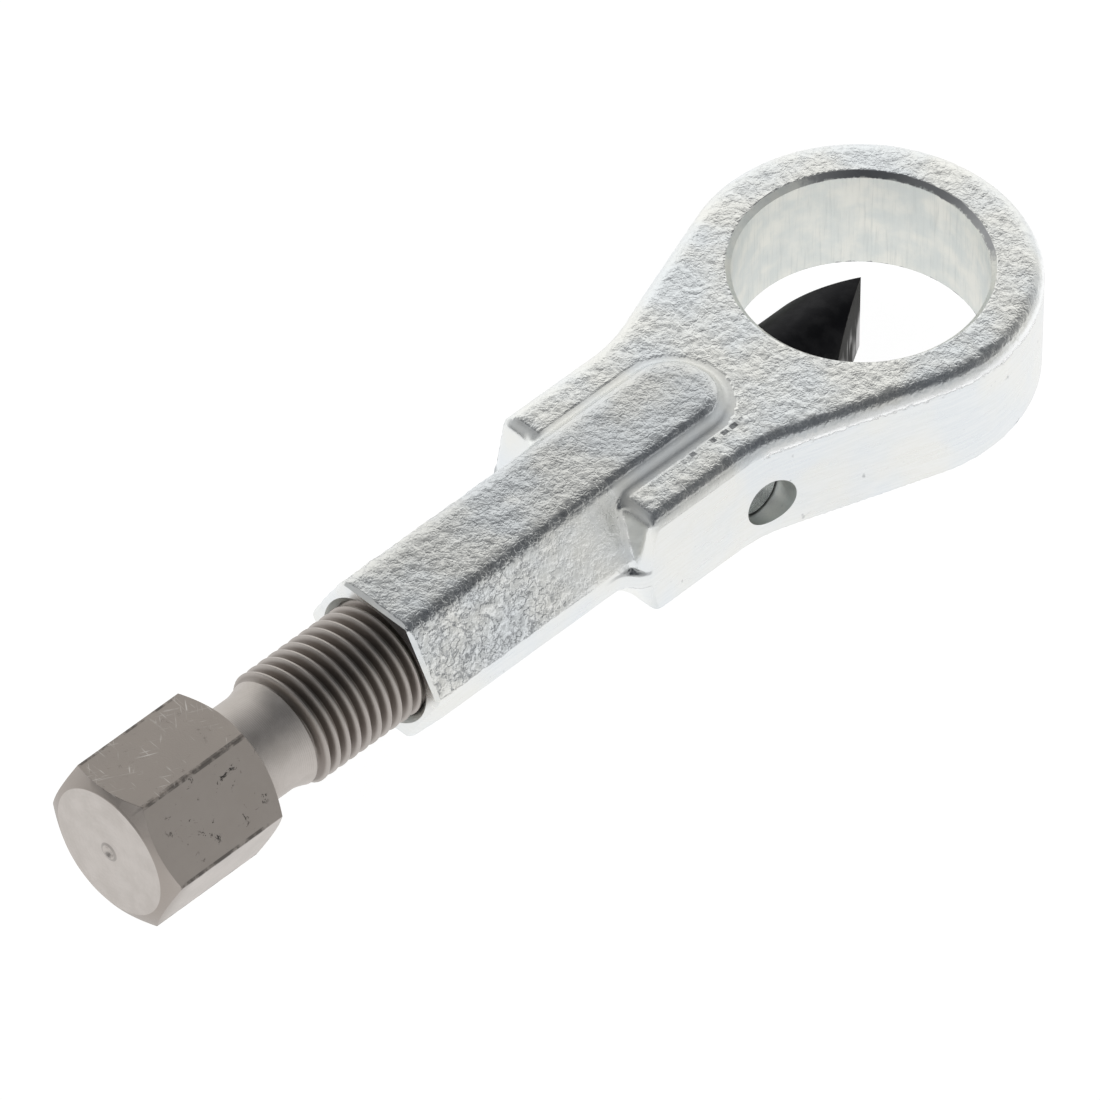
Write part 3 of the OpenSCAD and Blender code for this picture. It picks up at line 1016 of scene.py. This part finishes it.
@dataclass(frozen=True)
class GroundSteel:
    """Plain ground steel of the pin and the ball."""

    name: str
    base: Colour
    rough: float
    # Painted shade in the pin's chamfer
    oil: Colour = (0.03, 0.03, 0.032)
    line_depth: float = 0.006

    def material(self, end: float | None = None) -> bpy.types.Material:
        """Makes the steel with a faint cloud and fine grinding lines.

        Args:
            end: The Y of an end face. Everything more than 0.1 mm behind it, the chamfer and the hidden
                shank, is darkened as painted shade.

        Returns:
            The material.
        """
        material, graph = new_material(self.name)
        spot = graph.place()
        cloud = graph.noise(spot, 0.7, 3)
        line = graph.noise(graph.scaled(spot, (5.0, 0.4, 5.0)), 1.0, 2)
        darker = tuple(0.8 * part for part in self.base)
        colour = graph.blend(cloud.rise(0.3, 0.7), darker, self.base)
        if end is not None:
            _, y, _ = graph.split(spot)
            # Painted shade in the chamfer, in the gap between the pin and its hole
            colour = graph.blend(y.rise(end + 0.03, end + 0.1), colour, self.oil)
        graph.metal(
            Base_Color=colour,
            Roughness=line * 0.1 + self.rough,
            Normal=graph.bump(line, self.line_depth),
        )
        return material


@dataclass
class ForgedFrame:
    """The forging: ring, arm and shaft, with its trimmed flanks and its bored holes."""

    finish: ZincFinish
    voxel: float = 0.31
    eye_radius: float = 14.0
    eye_chamfer: float = 0.6
    ring_radius: float = 19.745
    plate_half: float = 7.0
    arm_half: float = 11.5
    bend_x: float = -26.8
    bend_radius: float = 17.0
    shoulder_x: float = -44.488
    corner_radius: float = 1.2
    land_turn: float = 60.0
    land_top: float = 0.3
    trim_low: float = 2.2
    nose_x: float = -28.9
    crest_edge: float = 4.9
    crest_foot: float = 6.9
    shaft_across: float = 17.0
    shaft_side: float = 9.415
    end_break: float = 0.4
    thread_radius: float = 7.0
    mouth_chamfer: float = 0.7
    guide_radius: float = 5.3
    guide_end: float = -31.0
    pin_radius: float = 3.0
    rear: float = field(init=False)

    # How the blank is larger than the finished forging, and how its skin heaves
    trim_allowance: float = 0.15
    plug_slack: float = 0.1
    over: float = 2.0
    swells: tuple[tuple[str, float, float], ...] = (("heave", 4.0, 0.16), ("wrinkle", 1.0, 0.22))

    # Where the arm begins in front of a shoulder, and the stretch over which the shaft's sides calm down
    arm_start: float = 1.0
    plate_start: float = 2.0
    calm_start: float = -58.0
    calm_run: float = 11.0

    # Sizes of a normal's parts that tell a wall, a side, an end and a face apart
    wall_lean: float = 0.25
    side_part: float = 0.8
    sawn_part: float = 0.7
    rear_part: float = 0.3
    band_part: float = 0.72
    under_part: float = 0.9
    level_part: float = 0.95
    top_part: float = 0.8
    crest_slack: float = 0.2

    # The angle in degrees from which a cut's corner stays sharp
    crease_angle: float = 25.0

    def __post_init__(self) -> None:
        """Takes the shaft's end from the frame."""
        self.rear = box_of("body")[0].x

    def build(self) -> bpy.types.Object:
        """Forges a rough blank from the CAD shape, then trims and bores it.

        Returns:
            The finished forging.
        """
        piece = self._blank()
        piece.data.materials.append(self.finish.material(Skin.FORGED))
        trimmed = self.finish.material(Skin.TRIMMED)
        machined = self.finish.material(Skin.MACHINED)
        for tool in (self._trim_die(), self._end_tool()):
            Bench.dress(tool, trimmed)
            Bench.cut(piece, tool, "INTERSECT", "MANIFOLD")
        for tool in (self._eye(), self._bore(), self._pin_hole()):
            Bench.dress(tool, machined)
            Bench.cut(piece, tool, "DIFFERENCE", "MANIFOLD")
        self._crease(piece)
        Bench.wear(piece, Body.FRAME, "zinc_forging", "body")
        return piece

    def _blank(self) -> bpy.types.Object:
        """Makes the forging before it is trimmed and bored: one even skin with wrinkles.

        Returns:
            The blank.
        """
        piece = Bench.copy_of("body", "forged_frame")
        Bench.join(piece, *self._plugs())
        Bench.modify(piece, "REMESH", mode="VOXEL", voxel_size=self.voxel * MM)
        Bench.modify(piece, "SMOOTH", factor=0.5, iterations=2)
        Bench.group(piece, "trim", self._trim_weight)
        Bench.group(piece, ROUGH, self._roughness)
        Bench.modify(piece, "DISPLACE", strength=self.trim_allowance * MM, mid_level=0.0, vertex_group="trim")
        for name, scale, depth in self.swells:
            texture = bpy.data.textures.new(name, "CLOUDS")
            texture.noise_scale = scale * MM
            texture.noise_depth = 1
            Bench.modify(
                piece,
                "DISPLACE",
                texture=texture,
                texture_coords="LOCAL",
                strength=depth * MM,
                mid_level=0.5,
                vertex_group=ROUGH,
            )
        piece.vertex_groups.clear()
        return piece

    def _plugs(self) -> list[bpy.types.Object]:
        """Makes the plugs that fill the holes, which are cut again after the blank has its skin.

        Returns:
            One bar for the eye, three for the bore and one for the pin's hole.
        """
        reach = self.plate_half
        mouth = self.rear + 2 * self.mouth_chamfer
        wide = self.thread_radius + self.mouth_chamfer
        stretches = (
            ((0, 0, -reach), (0, 0, reach), self.eye_radius + self.eye_chamfer),
            ((self.rear, 0, 0), (mouth, 0, 0), wide),
            ((self.rear, 0, 0), (self.guide_end, 0, 0), self.thread_radius),
            ((self.guide_end - 1, 0, 0), (1 - self.eye_radius, 0, 0), self.guide_radius),
            (self._pin(-self.arm_half - self.over), self._pin(0), self.pin_radius),
        )
        return [Bench.rod("plug", (a, b), radius + self.plug_slack) for a, b, radius in stretches]

    @staticmethod
    def _pin(y: float) -> Point:
        """Gives a point on the guide pin's axis.

        Args:
            y: The point's Y.

        Returns:
            The point.
        """
        low, high = box_of("guide_pin")
        middle = (low + high) / 2
        return (middle.x, y, middle.z)

    def _trim_weight(self, spot: Vector, normal: Vector) -> float:
        """Tells how far a vertex lies on a wall that is trimmed or sawn.

        Args:
            spot: The vertex's place.
            normal: Its normal.

        Returns:
            1 on an upright wall, 0 where the forging keeps its skin.
        """
        upright = max(0.0, 1 - abs(normal.z) / self.wall_lean)
        on_plate = spot.x > self.shoulder_x + self.plate_start or abs(normal.y) > self.side_part
        on_land = -self.trim_low < spot.z < self.land_top
        on_end = spot.x < self.rear + self.end_break and normal.x < -self.sawn_part
        return upright if on_plate or on_land or on_end else 0.0

    def _roughness(self, spot: Vector, normal: Vector) -> float:
        """Tells how rough the forging is: wrinkled on its faces, pressed smooth in its hollows.

        Args:
            spot: A vertex's place.
            normal: Its normal.

        Returns:
            The roughness, from 0 to 1.
        """
        flat = abs(normal.z)
        on_arm = spot.x > self.shoulder_x + self.arm_start
        from_crest = math.hypot(max(0.0, spot.x - self.nose_x), spot.y)
        beside_crest = self.crest_edge < from_crest < self.crest_foot
        if normal.x < -self.rear_part and spot.x < self.nose_x:
            return Pressed.SHOULDER.value
        if on_arm and beside_crest and abs(spot.z) > self.plate_half - self.crest_slack:
            return Pressed.CREST_SIDE.value
        if on_arm and flat < self.band_part:
            return Pressed.EDGE_BAND.value
        if spot.z < 0 and flat < self.under_part:
            return Pressed.UNDERSIDE.value
        if on_arm:
            return Pressed.PLATE.value if flat > self.level_part else Pressed.PLATE_EDGE.value
        if flat > self.top_part:
            return Pressed.SHAFT_TOP.value
        calm = min(1.0, max(0.0, (spot.x - self.calm_start) / self.calm_run))
        return Pressed.SHAFT_SIDE.value + (Pressed.CALM_SIDE.value - Pressed.SHAFT_SIDE.value) * calm

    def _trim_die(self) -> bpy.types.Object:
        """Makes the die that trims the forging to its plan."""
        low = -self.shaft_across
        return Bench.prism("trim_die", [(x, y, low) for x, y in self._outline()], (0, 0, -2 * low))

    def _outline(self) -> list[Spot]:
        """Draws the plan that the forging is trimmed to.

        Returns:
            Its corners, all the way round.
        """
        away = math.hypot(self.bend_x, self.arm_half)
        slope = math.asin(self.ring_radius / away) - math.atan2(self.arm_half, -self.bend_x)
        run = self.bend_radius * math.tan(slope / 2)
        quarter = math.pi / 2
        centre = (self.bend_x - run, self.arm_half + self.bend_radius)
        bend = arc(centre, self.bend_radius, -quarter, slope - quarter, 10)
        ring = arc((0, 0), self.ring_radius, quarter + slope, 0, 96)
        half = [(self.rear, 0), (self.rear, self.shaft_side), *self._land(), *bend, *ring]
        return half + [(x, -y) for x, y in reversed(half[1:-1])]

    def _land(self) -> list[Spot]:
        """Draws the plan of a shoulder: a hollow arc out from the shaft's side, then a round one.

        Returns:
            Its points, from the shaft to the arm.
        """
        turn = math.radians(self.land_turn)
        radius = (self.arm_half - self.shaft_side) / (2 - 2 * math.cos(turn))
        front = self.shoulder_x + self.corner_radius
        rear = front - 2 * radius * math.sin(turn)
        quarter = math.pi / 2
        hollow = arc((rear, self.shaft_side + radius), radius, -quarter, turn - quarter, 8)
        return hollow + arc((front, self.arm_half - radius), radius, quarter + turn, quarter, 8)[1:]

    def _end_tool(self) -> bpy.types.Object:
        """Makes the tool that breaks the edges of the shaft's end.

        Returns:
            A six-sided funnel at 45 degrees.
        """
        depth = self.ring_radius - self.rear + self.over
        inner = self.shaft_across / 2 - self.end_break
        corners = arc((0, 0), inner * 2 / math.sqrt(3), 0, math.tau * 5 / 6, 5)
        outline = [(self.rear, y, z) for y, z in corners]
        return Bench.prism("end_tool", outline, (depth, 0, 0), 1 + depth / inner)

    def _eye(self) -> bpy.types.Object:
        """Makes the tool that bores the eye and breaks its two edges.

        Returns:
            The tool.
        """
        wide, r, top = self.eye_chamfer + self.over, self.eye_radius, self.plate_half
        profile = [
            (-top - self.over, 0),
            (-top - self.over, r + wide),
            (-top + self.eye_chamfer, r),
            (top - self.eye_chamfer, r),
            (top + self.over, r + wide),
            (top + self.over, 0),
        ]
        return Bench.turned("eye_tool", profile, "Z", 160)

    def _bore(self) -> bpy.types.Object:
        """Makes the tool that bores the shaft for the spindle and the arm for the chisel.

        Returns:
            The tool.
        """
        wide = self.mouth_chamfer + self.over
        profile = [
            (self.rear - self.over, 0),
            (self.rear - self.over, self.thread_radius + wide),
            (self.rear + self.mouth_chamfer, self.thread_radius),
            (self.guide_end, self.thread_radius),
            (self.guide_end, self.guide_radius),
            (0, self.guide_radius),
            (0, 0),
        ]
        return Bench.turned("bore_tool", profile, "X")

    def _pin_hole(self) -> bpy.types.Object:
        """Makes the drill for the guide pin."""
        return Bench.rod("pin_drill", (self._pin(-self.ring_radius), self._pin(0)), self.pin_radius)

    def _crease(self, piece: bpy.types.Object) -> None:
        """Smooths the skin, with sharp edges where one kind of surface meets another.

        Args:
            piece: The forging.
        """
        Bench.pick(piece)
        bpy.ops.object.shade_smooth()
        limit = math.radians(self.crease_angle)
        with Bench.editing(piece):
            mesh = bmesh.from_edit_mesh(piece.data)
            for edge in mesh.edges:
                skins = {face.material_index for face in edge.link_faces}
                cut_corner = 0 not in skins and edge.calc_face_angle(0.0) > limit
                edge.smooth = len(skins) == 1 and not cut_corner
            bmesh.update_edit_mesh(piece.data)


@dataclass
class ScrewSpindle:
    """The screw: a right-hand thread, a turned neck and the drive hexagon."""

    finish: SpindleSteel
    pitch: float = 1.5
    outer_radius: float = 6.95
    depth: float = 0.92
    crest_flat: float = 0.14
    flank: float = 0.74
    root_round: float = 0.25
    pitch_points: int = 16
    steps: int = 72
    chamfer: float = 0.9
    thread_end: float = -87.7
    run_out: float = 0.4
    fade: float = 0.7
    neck_end: float = -95.0
    neck_radius: float = 5.85
    neck_fillet: float = 1.0
    flare_run: float = 2.4
    flare_curve: float = 1.6
    flare_step: float = 0.25
    hex_across: float = 17.0
    hex_turn: float = 54.5
    face_inset: float = 0.8
    face_sink: float = 0.12
    chamfer_angle: float = 30.0
    edge_break: float = 0.18
    over: float = 1.0
    seat_clear: float = 0.05
    smooth_angle: float = 22.0
    turn_gap: float = 0.002
    weld_gap: float = 0.004
    rim_gap: float = 0.01

    # The centre mark in the end face: its depth, then radii from the middle outwards
    mark_depth: float = 0.5
    mark_lip: float = 0.05
    mark_radius: float = 0.62
    ring_inner: float = 0.8
    ring_outer: float = 0.92
    ring_foot: float = 1.15

    end: float = field(init=False)
    tip: float = field(init=False)

    def __post_init__(self) -> None:
        """Takes the screw's two ends from the frame."""
        low, high = box_of("spindle")
        self.end, self.tip = low.x, high.x

    @property
    def corner(self) -> float:
        """Gives the radius of the hexagon's corners."""
        return self.hex_across / math.sqrt(3)

    @property
    def face_radius(self) -> float:
        """Gives the radius of the hexagon's turned end face."""
        return self.hex_across / 2 - self.face_inset

    @property
    def start(self) -> float:
        """Gives the place where the thread has run out into the flare."""
        return self.thread_end - self.run_out

    def build(self) -> bpy.types.Object:
        """Turns the shank with its thread, mills the head and joins the two.

        Returns:
            The finished screw.
        """
        piece = self._shank()
        Bench.cut(piece, self._head(), "UNION")
        Bench.cut(piece, self._ball_seat())
        Bench.smooth(piece, self.smooth_angle)
        Bench.favour_flats(piece)
        Bench.dress(piece, self.finish.material(self))
        Bench.wear(piece, Body.SPINDLE, "spindle_steel", "spindle")
        return piece

    def _ball_seat(self) -> bpy.types.Object:
        """Makes the ball end mill that sinks the thrust ball's seat.

        Returns:
            The tool.
        """
        low, high = box_of("thrust_ball")
        radius = ((high.x - low.x) / 2 + self.seat_clear) * MM
        middle = (low + high) / 2 * MM
        Bench.clear()
        bpy.ops.mesh.primitive_uv_sphere_add(segments=48, ring_count=24, radius=radius, location=middle)
        return Bench.added("seat_tool")

    def _envelope(self, x: float) -> float:
        """Gives the turned radius without the thread's groove.

        Args:
            x: A place along the shank.

        Returns:
            The radius there.
        """
        top = self.outer_radius - self.chamfer / 2
        from_end = x - self.thread_end
        if from_end < 0:
            climb = min(1.0, max(0.0, 1 + from_end / self.flare_run))
            return self.neck_radius + (top - self.neck_radius) * climb**self.flare_curve
        return min(self.outer_radius, top + from_end, self.outer_radius - self.chamfer + self.tip - x)

    def _groove(self, share: float) -> float:
        """Gives the groove's depth.

        Args:
            share: A place as a share of the pitch.

        Returns:
            The depth there, from 0 on the crest to 1 in the root.
        """
        away = abs(share % 1.0 - 0.5) * 2
        slope = min(1.0, max(0.0, (away - self.crest_flat) / self.flank))
        return soft(slope) * self.root_round + slope * (1 - self.root_round)

    def _shank(self) -> bpy.types.Object:
        """Winds the thread, closes its ends on the turned outline and draws out the neck.

        Returns:
            The shank.
        """
        turns = math.ceil((self.tip - self.start) / self.pitch) + 2
        first = self.start - self.pitch
        shares = [i / self.pitch_points for i in range(self.pitch_points + 1)]
        points = [
            (first + self.pitch * share, self.outer_radius - self.depth * self._groove(share), 0)
            for share in shares
        ]
        piece = Bench.chain("screw_spindle", points)
        Bench.modify(
            piece,
            "SCREW",
            axis="X",
            screw_offset=self.pitch * MM,
            iterations=turns,
            steps=self.steps,
            render_steps=self.steps,
            use_merge_vertices=True,
            merge_threshold=self.turn_gap * MM,
        )
        for vertex in piece.data.vertices:
            self._settle(vertex)
        Bench.weld(piece, self.weld_gap)
        self._draw_neck(piece)
        return piece

    def _settle(self, vertex: bpy.types.MeshVertex) -> None:
        """Brings a thread vertex onto the turned outline, with the groove fading at both ends.

        Args:
            vertex: The vertex.
        """
        x, y, z = vertex.co / MM
        radius = math.hypot(y, z)
        groove = (self.outer_radius - radius) / self.depth
        x = min(max(x, self.start), self.tip)
        ends = min((x - self.start) / self.fade, (self.tip - x) / self.fade)
        fade = min(1.0, max(0.0, ends))
        wanted = self._envelope(x) - self.depth * groove * soft(fade)
        vertex.co = Vector((x, y * wanted / radius, z * wanted / radius)) * MM

    def _draw_neck(self, piece: bpy.types.Object) -> None:
        """Extrudes the thread's open end along the flare and the neck into the head, and closes both ends.

        Args:
            piece: The shank.
        """
        flare = [(x, self._envelope(x)) for x in (self.start - self.flare_step * i for i in range(1, 10))]
        foot = (self.neck_end + self.neck_fillet, self.neck_radius + self.neck_fillet)
        fillet = arc(foot, self.neck_fillet, -math.pi / 2, -math.pi, 6)
        stations = [*flare, *fillet, (self.neck_end - self.over, fillet[-1][1])]
        with Bench.editing(piece):
            self._select_rim(piece, self.start)
            here, radius = self.start, self._envelope(self.start)
            for x, wanted in stations:
                bpy.ops.mesh.extrude_edges_move(TRANSFORM_OT_translate={"value": ((x - here) * MM, 0, 0)})
                share = wanted / radius
                bpy.ops.transform.resize(value=(1, share, share), center_override=(x * MM, 0, 0))
                here, radius = x, wanted
            bpy.ops.mesh.edge_face_add()
            self._select_rim(piece, self.tip)
            bpy.ops.mesh.edge_face_add()
        Bench.weld(piece)

    def _select_rim(self, piece: bpy.types.Object, x: float) -> None:
        """Selects the open edges at one place along the shank.

        Args:
            piece: The shank, in edit mode.
            x: The place.
        """
        bpy.ops.mesh.select_mode(type="EDGE")
        bpy.ops.mesh.select_all(action="DESELECT")
        mesh = bmesh.from_edit_mesh(piece.data)
        for edge in mesh.edges:
            at_rim = all(abs(vertex.co.x / MM - x) < self.rim_gap for vertex in edge.verts)
            edge.select_set(edge.is_boundary and at_rim)
        bmesh.update_edit_mesh(piece.data)

    def _head(self) -> bpy.types.Object:
        """Mills the hexagon from its turned blank.

        Returns:
            The head.
        """
        first = math.radians(self.hex_turn)
        start = self.end - self.over
        corners = arc((0, 0), self.corner, first, first + math.tau * 5 / 6, 5)
        outline = [(start, y, z) for y, z in corners]
        piece = Bench.prism("drive_head", outline, (self.neck_end - start, 0, 0))
        Bench.cut(piece, self._head_blank(), "INTERSECT")
        Bench.ease_edges(piece, self.edge_break)
        return piece

    def _head_blank(self) -> bpy.types.Object:
        """Turns the head's blank: a drilled mark in a raised ring, the face, and a chamfer at each end.

        Returns:
            The blank.
        """
        wide = self.corner + self.over
        run = (wide - self.face_radius) * math.tan(math.radians(self.chamfer_angle))
        face = self.end + self.face_sink
        profile = [
            (face + self.mark_depth, 0),
            (face + self.mark_lip, self.mark_radius),
            (self.end, self.ring_inner),
            (self.end, self.ring_outer),
            (face, self.ring_foot),
            (face, self.face_radius),
            (face + run, wide),
            (self.neck_end - run, wide),
            (self.neck_end, self.face_radius),
            (self.neck_end, 0),
        ]
        return Bench.turned("head_blank", profile, "X")


@dataclass
class SplittingChisel:
    """The round chisel with its roof-shaped edge and the slot that keeps it from turning."""

    finish: ChiselSteel
    half_angle: float = math.radians(30)
    rear_chamfer: float = 0.6
    edge_break: float = 0.05
    slot_floor: float = 3.0
    slot_clear: float = 0.15
    travel_home: float = 13.0
    travel_back: float = 12.0
    rear: float = field(init=False)
    front: float = field(init=False)
    radius: float = field(init=False)

    def __post_init__(self) -> None:
        """Takes the bar's ends and its radius from the frame."""
        low, high = box_of("chisel")
        self.rear, self.front, self.radius = low.x, high.x, (high.y - low.y) / 2

    def build(self) -> bpy.types.Object:
        """Turns the bar, grinds its two faces and mills the slot.

        Returns:
            The finished chisel.
        """
        profile = [
            (self.rear, 0),
            (self.rear, self.radius - self.rear_chamfer),
            (self.rear + self.rear_chamfer, self.radius),
            (self.front, self.radius),
            (self.front, 0),
        ]
        piece = Bench.turned("splitting_chisel", profile, "X")
        for side in (1, -1):
            self._grind(piece, side)
        Bench.cut(piece, self._slot_tool())
        Bench.ease_edges(piece, self.edge_break)
        Bench.favour_flats(piece)
        Bench.dress(piece, self.finish.material(self.half_angle))
        Bench.wear(piece, Body.CHISEL, "chisel_steel", "chisel")
        return piece

    def _grind(self, piece: bpy.types.Object, side: int) -> None:
        """Takes one flat off the front so that the edge stands upright at the eye's centre.

        Args:
            piece: The bar.
            side: 1 for the flat towards +Y, -1 for the one towards -Y.
        """
        normal = (math.sin(self.half_angle), side * math.cos(self.half_angle), 0)
        with Bench.editing(piece):
            bpy.ops.mesh.bisect(plane_co=(0, 0, 0), plane_no=normal, use_fill=True, clear_outer=True)
        Bench.weld(piece)

    def _slot_tool(self) -> bpy.types.Object:
        """Makes the milling cut for the guide pin: a round-ended slot in the right side.

        Returns:
            The tool.
        """
        low, high = box_of("guide_pin")
        middle = (low + high) / 2
        radius = (high.x - low.x) / 2 + self.slot_clear
        rear = middle.x - self.travel_home - self.slot_clear
        front = middle.x + self.travel_back + self.slot_clear
        outline = arc((rear, 0), radius, math.pi * 1.5, math.pi * 0.5, 24)
        outline += arc((front, 0), radius, math.pi * 0.5, -math.pi * 0.5, 24)
        lying = [(x, -self.slot_floor, middle.z + across) for x, across in outline]
        return Bench.prism("slot_tool", lying, (0, -self.radius, 0))


@dataclass
class SmallParts:
    """The guide pin and the thrust ball."""

    pin_finish: GroundSteel
    ball_finish: GroundSteel
    pin_chamfer: float = 0.4
    pin_sides: int = 64

    def build(self) -> None:
        """Turns the pin and dresses the ball, which keeps its CAD shape."""
        low, high = box_of("guide_pin")
        middle = (low + high) / 2
        ends = ((middle.x, low.y, middle.z), (middle.x, high.y, middle.z))
        pin = Bench.rod("guide_dowel", ends, (high.x - low.x) / 2, self.pin_sides)
        Bench.ease_edges(pin, self.pin_chamfer)
        Bench.dress(pin, self.pin_finish.material(low.y))
        Bench.wear(pin, Body.FRAME, "pin_steel", "guide_pin")
        Bench.dress(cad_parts["thrust_ball"], self.ball_finish.material())
        log.info("thrust_ball: dressed")


@dataclass(frozen=True)
class DarkCard:
    """A soft dark round patch in the light tent, with its angles in degrees."""

    azimuth: float
    elevation: float
    outer: float
    inner: float
    depth: float

    def shade(self, x: Wire, y: Wire, z: Wire) -> Wire:
        """Gives how much of the light is taken away.

        Args:
            x: The X of a direction from the tent's middle.
            y: Its Y.
            z: Its Z.

        Returns:
            The share that is taken away there, from 0 to 1.
        """
        turn, lift = math.radians(self.azimuth), math.radians(self.elevation)
        middle = (math.cos(turn) * math.cos(lift), math.sin(turn) * math.cos(lift), math.sin(lift))
        near = x * middle[0] + y * middle[1] + z * middle[2]
        outer, inner = (math.cos(math.radians(angle)) for angle in (self.outer, self.inner))
        return near.rise(outer, inner) * self.depth


@dataclass
class Studio:
    """Camera, floor and light."""

    photo_side: int = 1100
    focal_pixels: float = 14157.0
    azimuth: float = -44.97
    elevation: float = 46.14
    aim: Point = (-36.7, 10.5, -17.8)
    distance: float = 1523.8

    floor_gap: float = 0.02
    floor_half: float = 4000.0
    floor_bounce: Colour = (0.9, 0.9, 0.9)
    floor_shade: Colour = (0.22, 0.22, 0.22)
    floor_glow: float = 0.95

    tent_radius: float = 350.0
    tent_x: float = -46.0
    tent_foot: float = -20.0
    tent_dark: Colour = (0.03, 0.035, 0.045)
    tent_light: Colour = (1.0, 1.0, 0.985)
    tent_strength: float = 1.15
    above: Step = (0.62, 0.80)
    above_depth: float = 0.7
    beside: Step = (0.35, -0.2)
    beside_depth: float = 0.45
    cards: tuple[DarkCard, ...] = (
        DarkCard(-28, 52, 38, 20, 0.8),
        DarkCard(-135, 46, 32, 14, 0.85),
        DarkCard(165, 2, 36, 14, 0.75),
        DarkCard(128, 54, 30, 14, 0.6),
        DarkCard(-12, 12, 24, 8, 0.35),
    )
    world_strength: float = 0.5

    def build(self) -> None:
        """Sets up the studio."""
        self._camera()
        self._floor()
        self._tent()
        self._world()
        bpy.context.scene.view_settings.view_transform = "Standard"

    def _camera(self) -> None:
        """Places the camera as the photograph was taken."""
        data = bpy.data.cameras.new("camera")
        data.lens = data.sensor_width * self.focal_pixels / self.photo_side
        camera = bpy.data.objects.new("camera", data)
        bpy.context.scene.collection.objects.link(camera)
        turn, lift = math.radians(self.azimuth), math.radians(self.elevation)
        back = Vector((math.sin(turn) * math.cos(lift), -math.cos(turn) * math.cos(lift), math.sin(lift)))
        camera.location = (Vector(self.aim) + back * self.distance) * MM
        camera.rotation_euler = (-back).to_track_quat("-Z", "Y").to_euler()
        bpy.context.scene.camera = camera

    def _floor(self) -> None:
        """Lays a pale floor under the lowest point, white in itself and grey only in shadow."""
        Bench.clear()
        height = cad_box[0].z - self.floor_gap * MM
        bpy.ops.mesh.primitive_plane_add(size=2 * self.floor_half * MM, location=(0, 0, height))
        floor = Bench.added("floor")
        material, graph = new_material("floor")
        plain = graph.node("ShaderNodeBsdfDiffuse", inputs={"Color": self.floor_bounce})
        shaded = graph.node("ShaderNodeBsdfDiffuse", inputs={"Color": self.floor_shade})
        glow = graph.node("ShaderNodeEmission", inputs={"Color": (1, 1, 1), "Strength": self.floor_glow})
        white = graph.node("ShaderNodeAddShader", inputs={0: shaded, 1: glow})
        graph.finish(graph.node("ShaderNodeMixShader", inputs={0: self._seen(graph), 1: plain, 2: white}))
        Bench.dress(floor, material)

    @staticmethod
    def _seen(graph: Graph) -> Wire:
        """Gives 1 where a ray shows the background: straight, mirrored or through glass."""
        path = graph.node("ShaderNodeLightPath", output="Is Camera Ray")
        return path.at_least(path.output("Is Glossy Ray")).at_least(path.output("Is Transmission Ray"))

    def _tent(self) -> None:
        """Hangs a tent of soft light, greyer above and on the camera's side, with dark cards in it."""
        Bench.clear()
        bpy.ops.mesh.primitive_uv_sphere_add(segments=64, ring_count=32, radius=self.tent_radius * MM)
        tent = Bench.added("light_tent")
        tent.location.x = self.tent_x * MM
        with Bench.editing(tent):
            bpy.ops.mesh.bisect(plane_co=(0, 0, self.tent_foot * MM), plane_no=(0, 0, 1), clear_inner=True)
        material, graph = new_material("light_tent")
        ways = graph.node("ShaderNodeVectorMath", {"operation": "NORMALIZE"}, {0: graph.place()})
        x, y, z = graph.split(ways)
        beside = ((x + y) * math.sqrt(0.5)).rise(*self.beside)
        level = (1 - z.rise(*self.above) * self.above_depth) * (1 - beside * self.beside_depth)
        for card in self.cards:
            level = level * (1 - card.shade(x, y, z))
        colour = graph.blend(level, self.tent_dark, self.tent_light)
        light = {"Color": colour, "Strength": self.tent_strength}
        graph.finish(graph.node("ShaderNodeEmission", inputs=light))
        Bench.dress(tent, material)
        tent.visible_camera = False

    def _world(self) -> None:
        """Makes the background white where it is seen."""
        world = bpy.data.worlds.new("studio")
        bpy.context.scene.world = world
        graph = Graph(world)
        dim = {"Color": (1, 1, 1), "Strength": self.world_strength}
        light = graph.node("ShaderNodeBackground", inputs=dim)
        white = graph.node("ShaderNodeBackground", inputs={"Color": (1, 1, 1), "Strength": 1.0})
        mixed = graph.node("ShaderNodeMixShader", inputs={0: self._seen(graph), 1: light, 2: white})
        graph.finish(mixed, "World")


def main() -> None:
    """Builds the pieces and the studio."""
    logging.basicConfig(level=logging.INFO, format="%(name)s: %(message)s")
    ForgedFrame(ZincFinish()).build()
    ScrewSpindle(SpindleSteel()).build()
    SplittingChisel(ChiselSteel()).build()
    pin = GroundSteel("pin_steel", (0.86, 0.89, 0.91), 0.22)
    ball = GroundSteel("ball_steel", (0.70, 0.71, 0.73), 0.12)
    SmallParts(pin, ball).build()
    Studio().build()


if __name__ == "__main__":
    main()
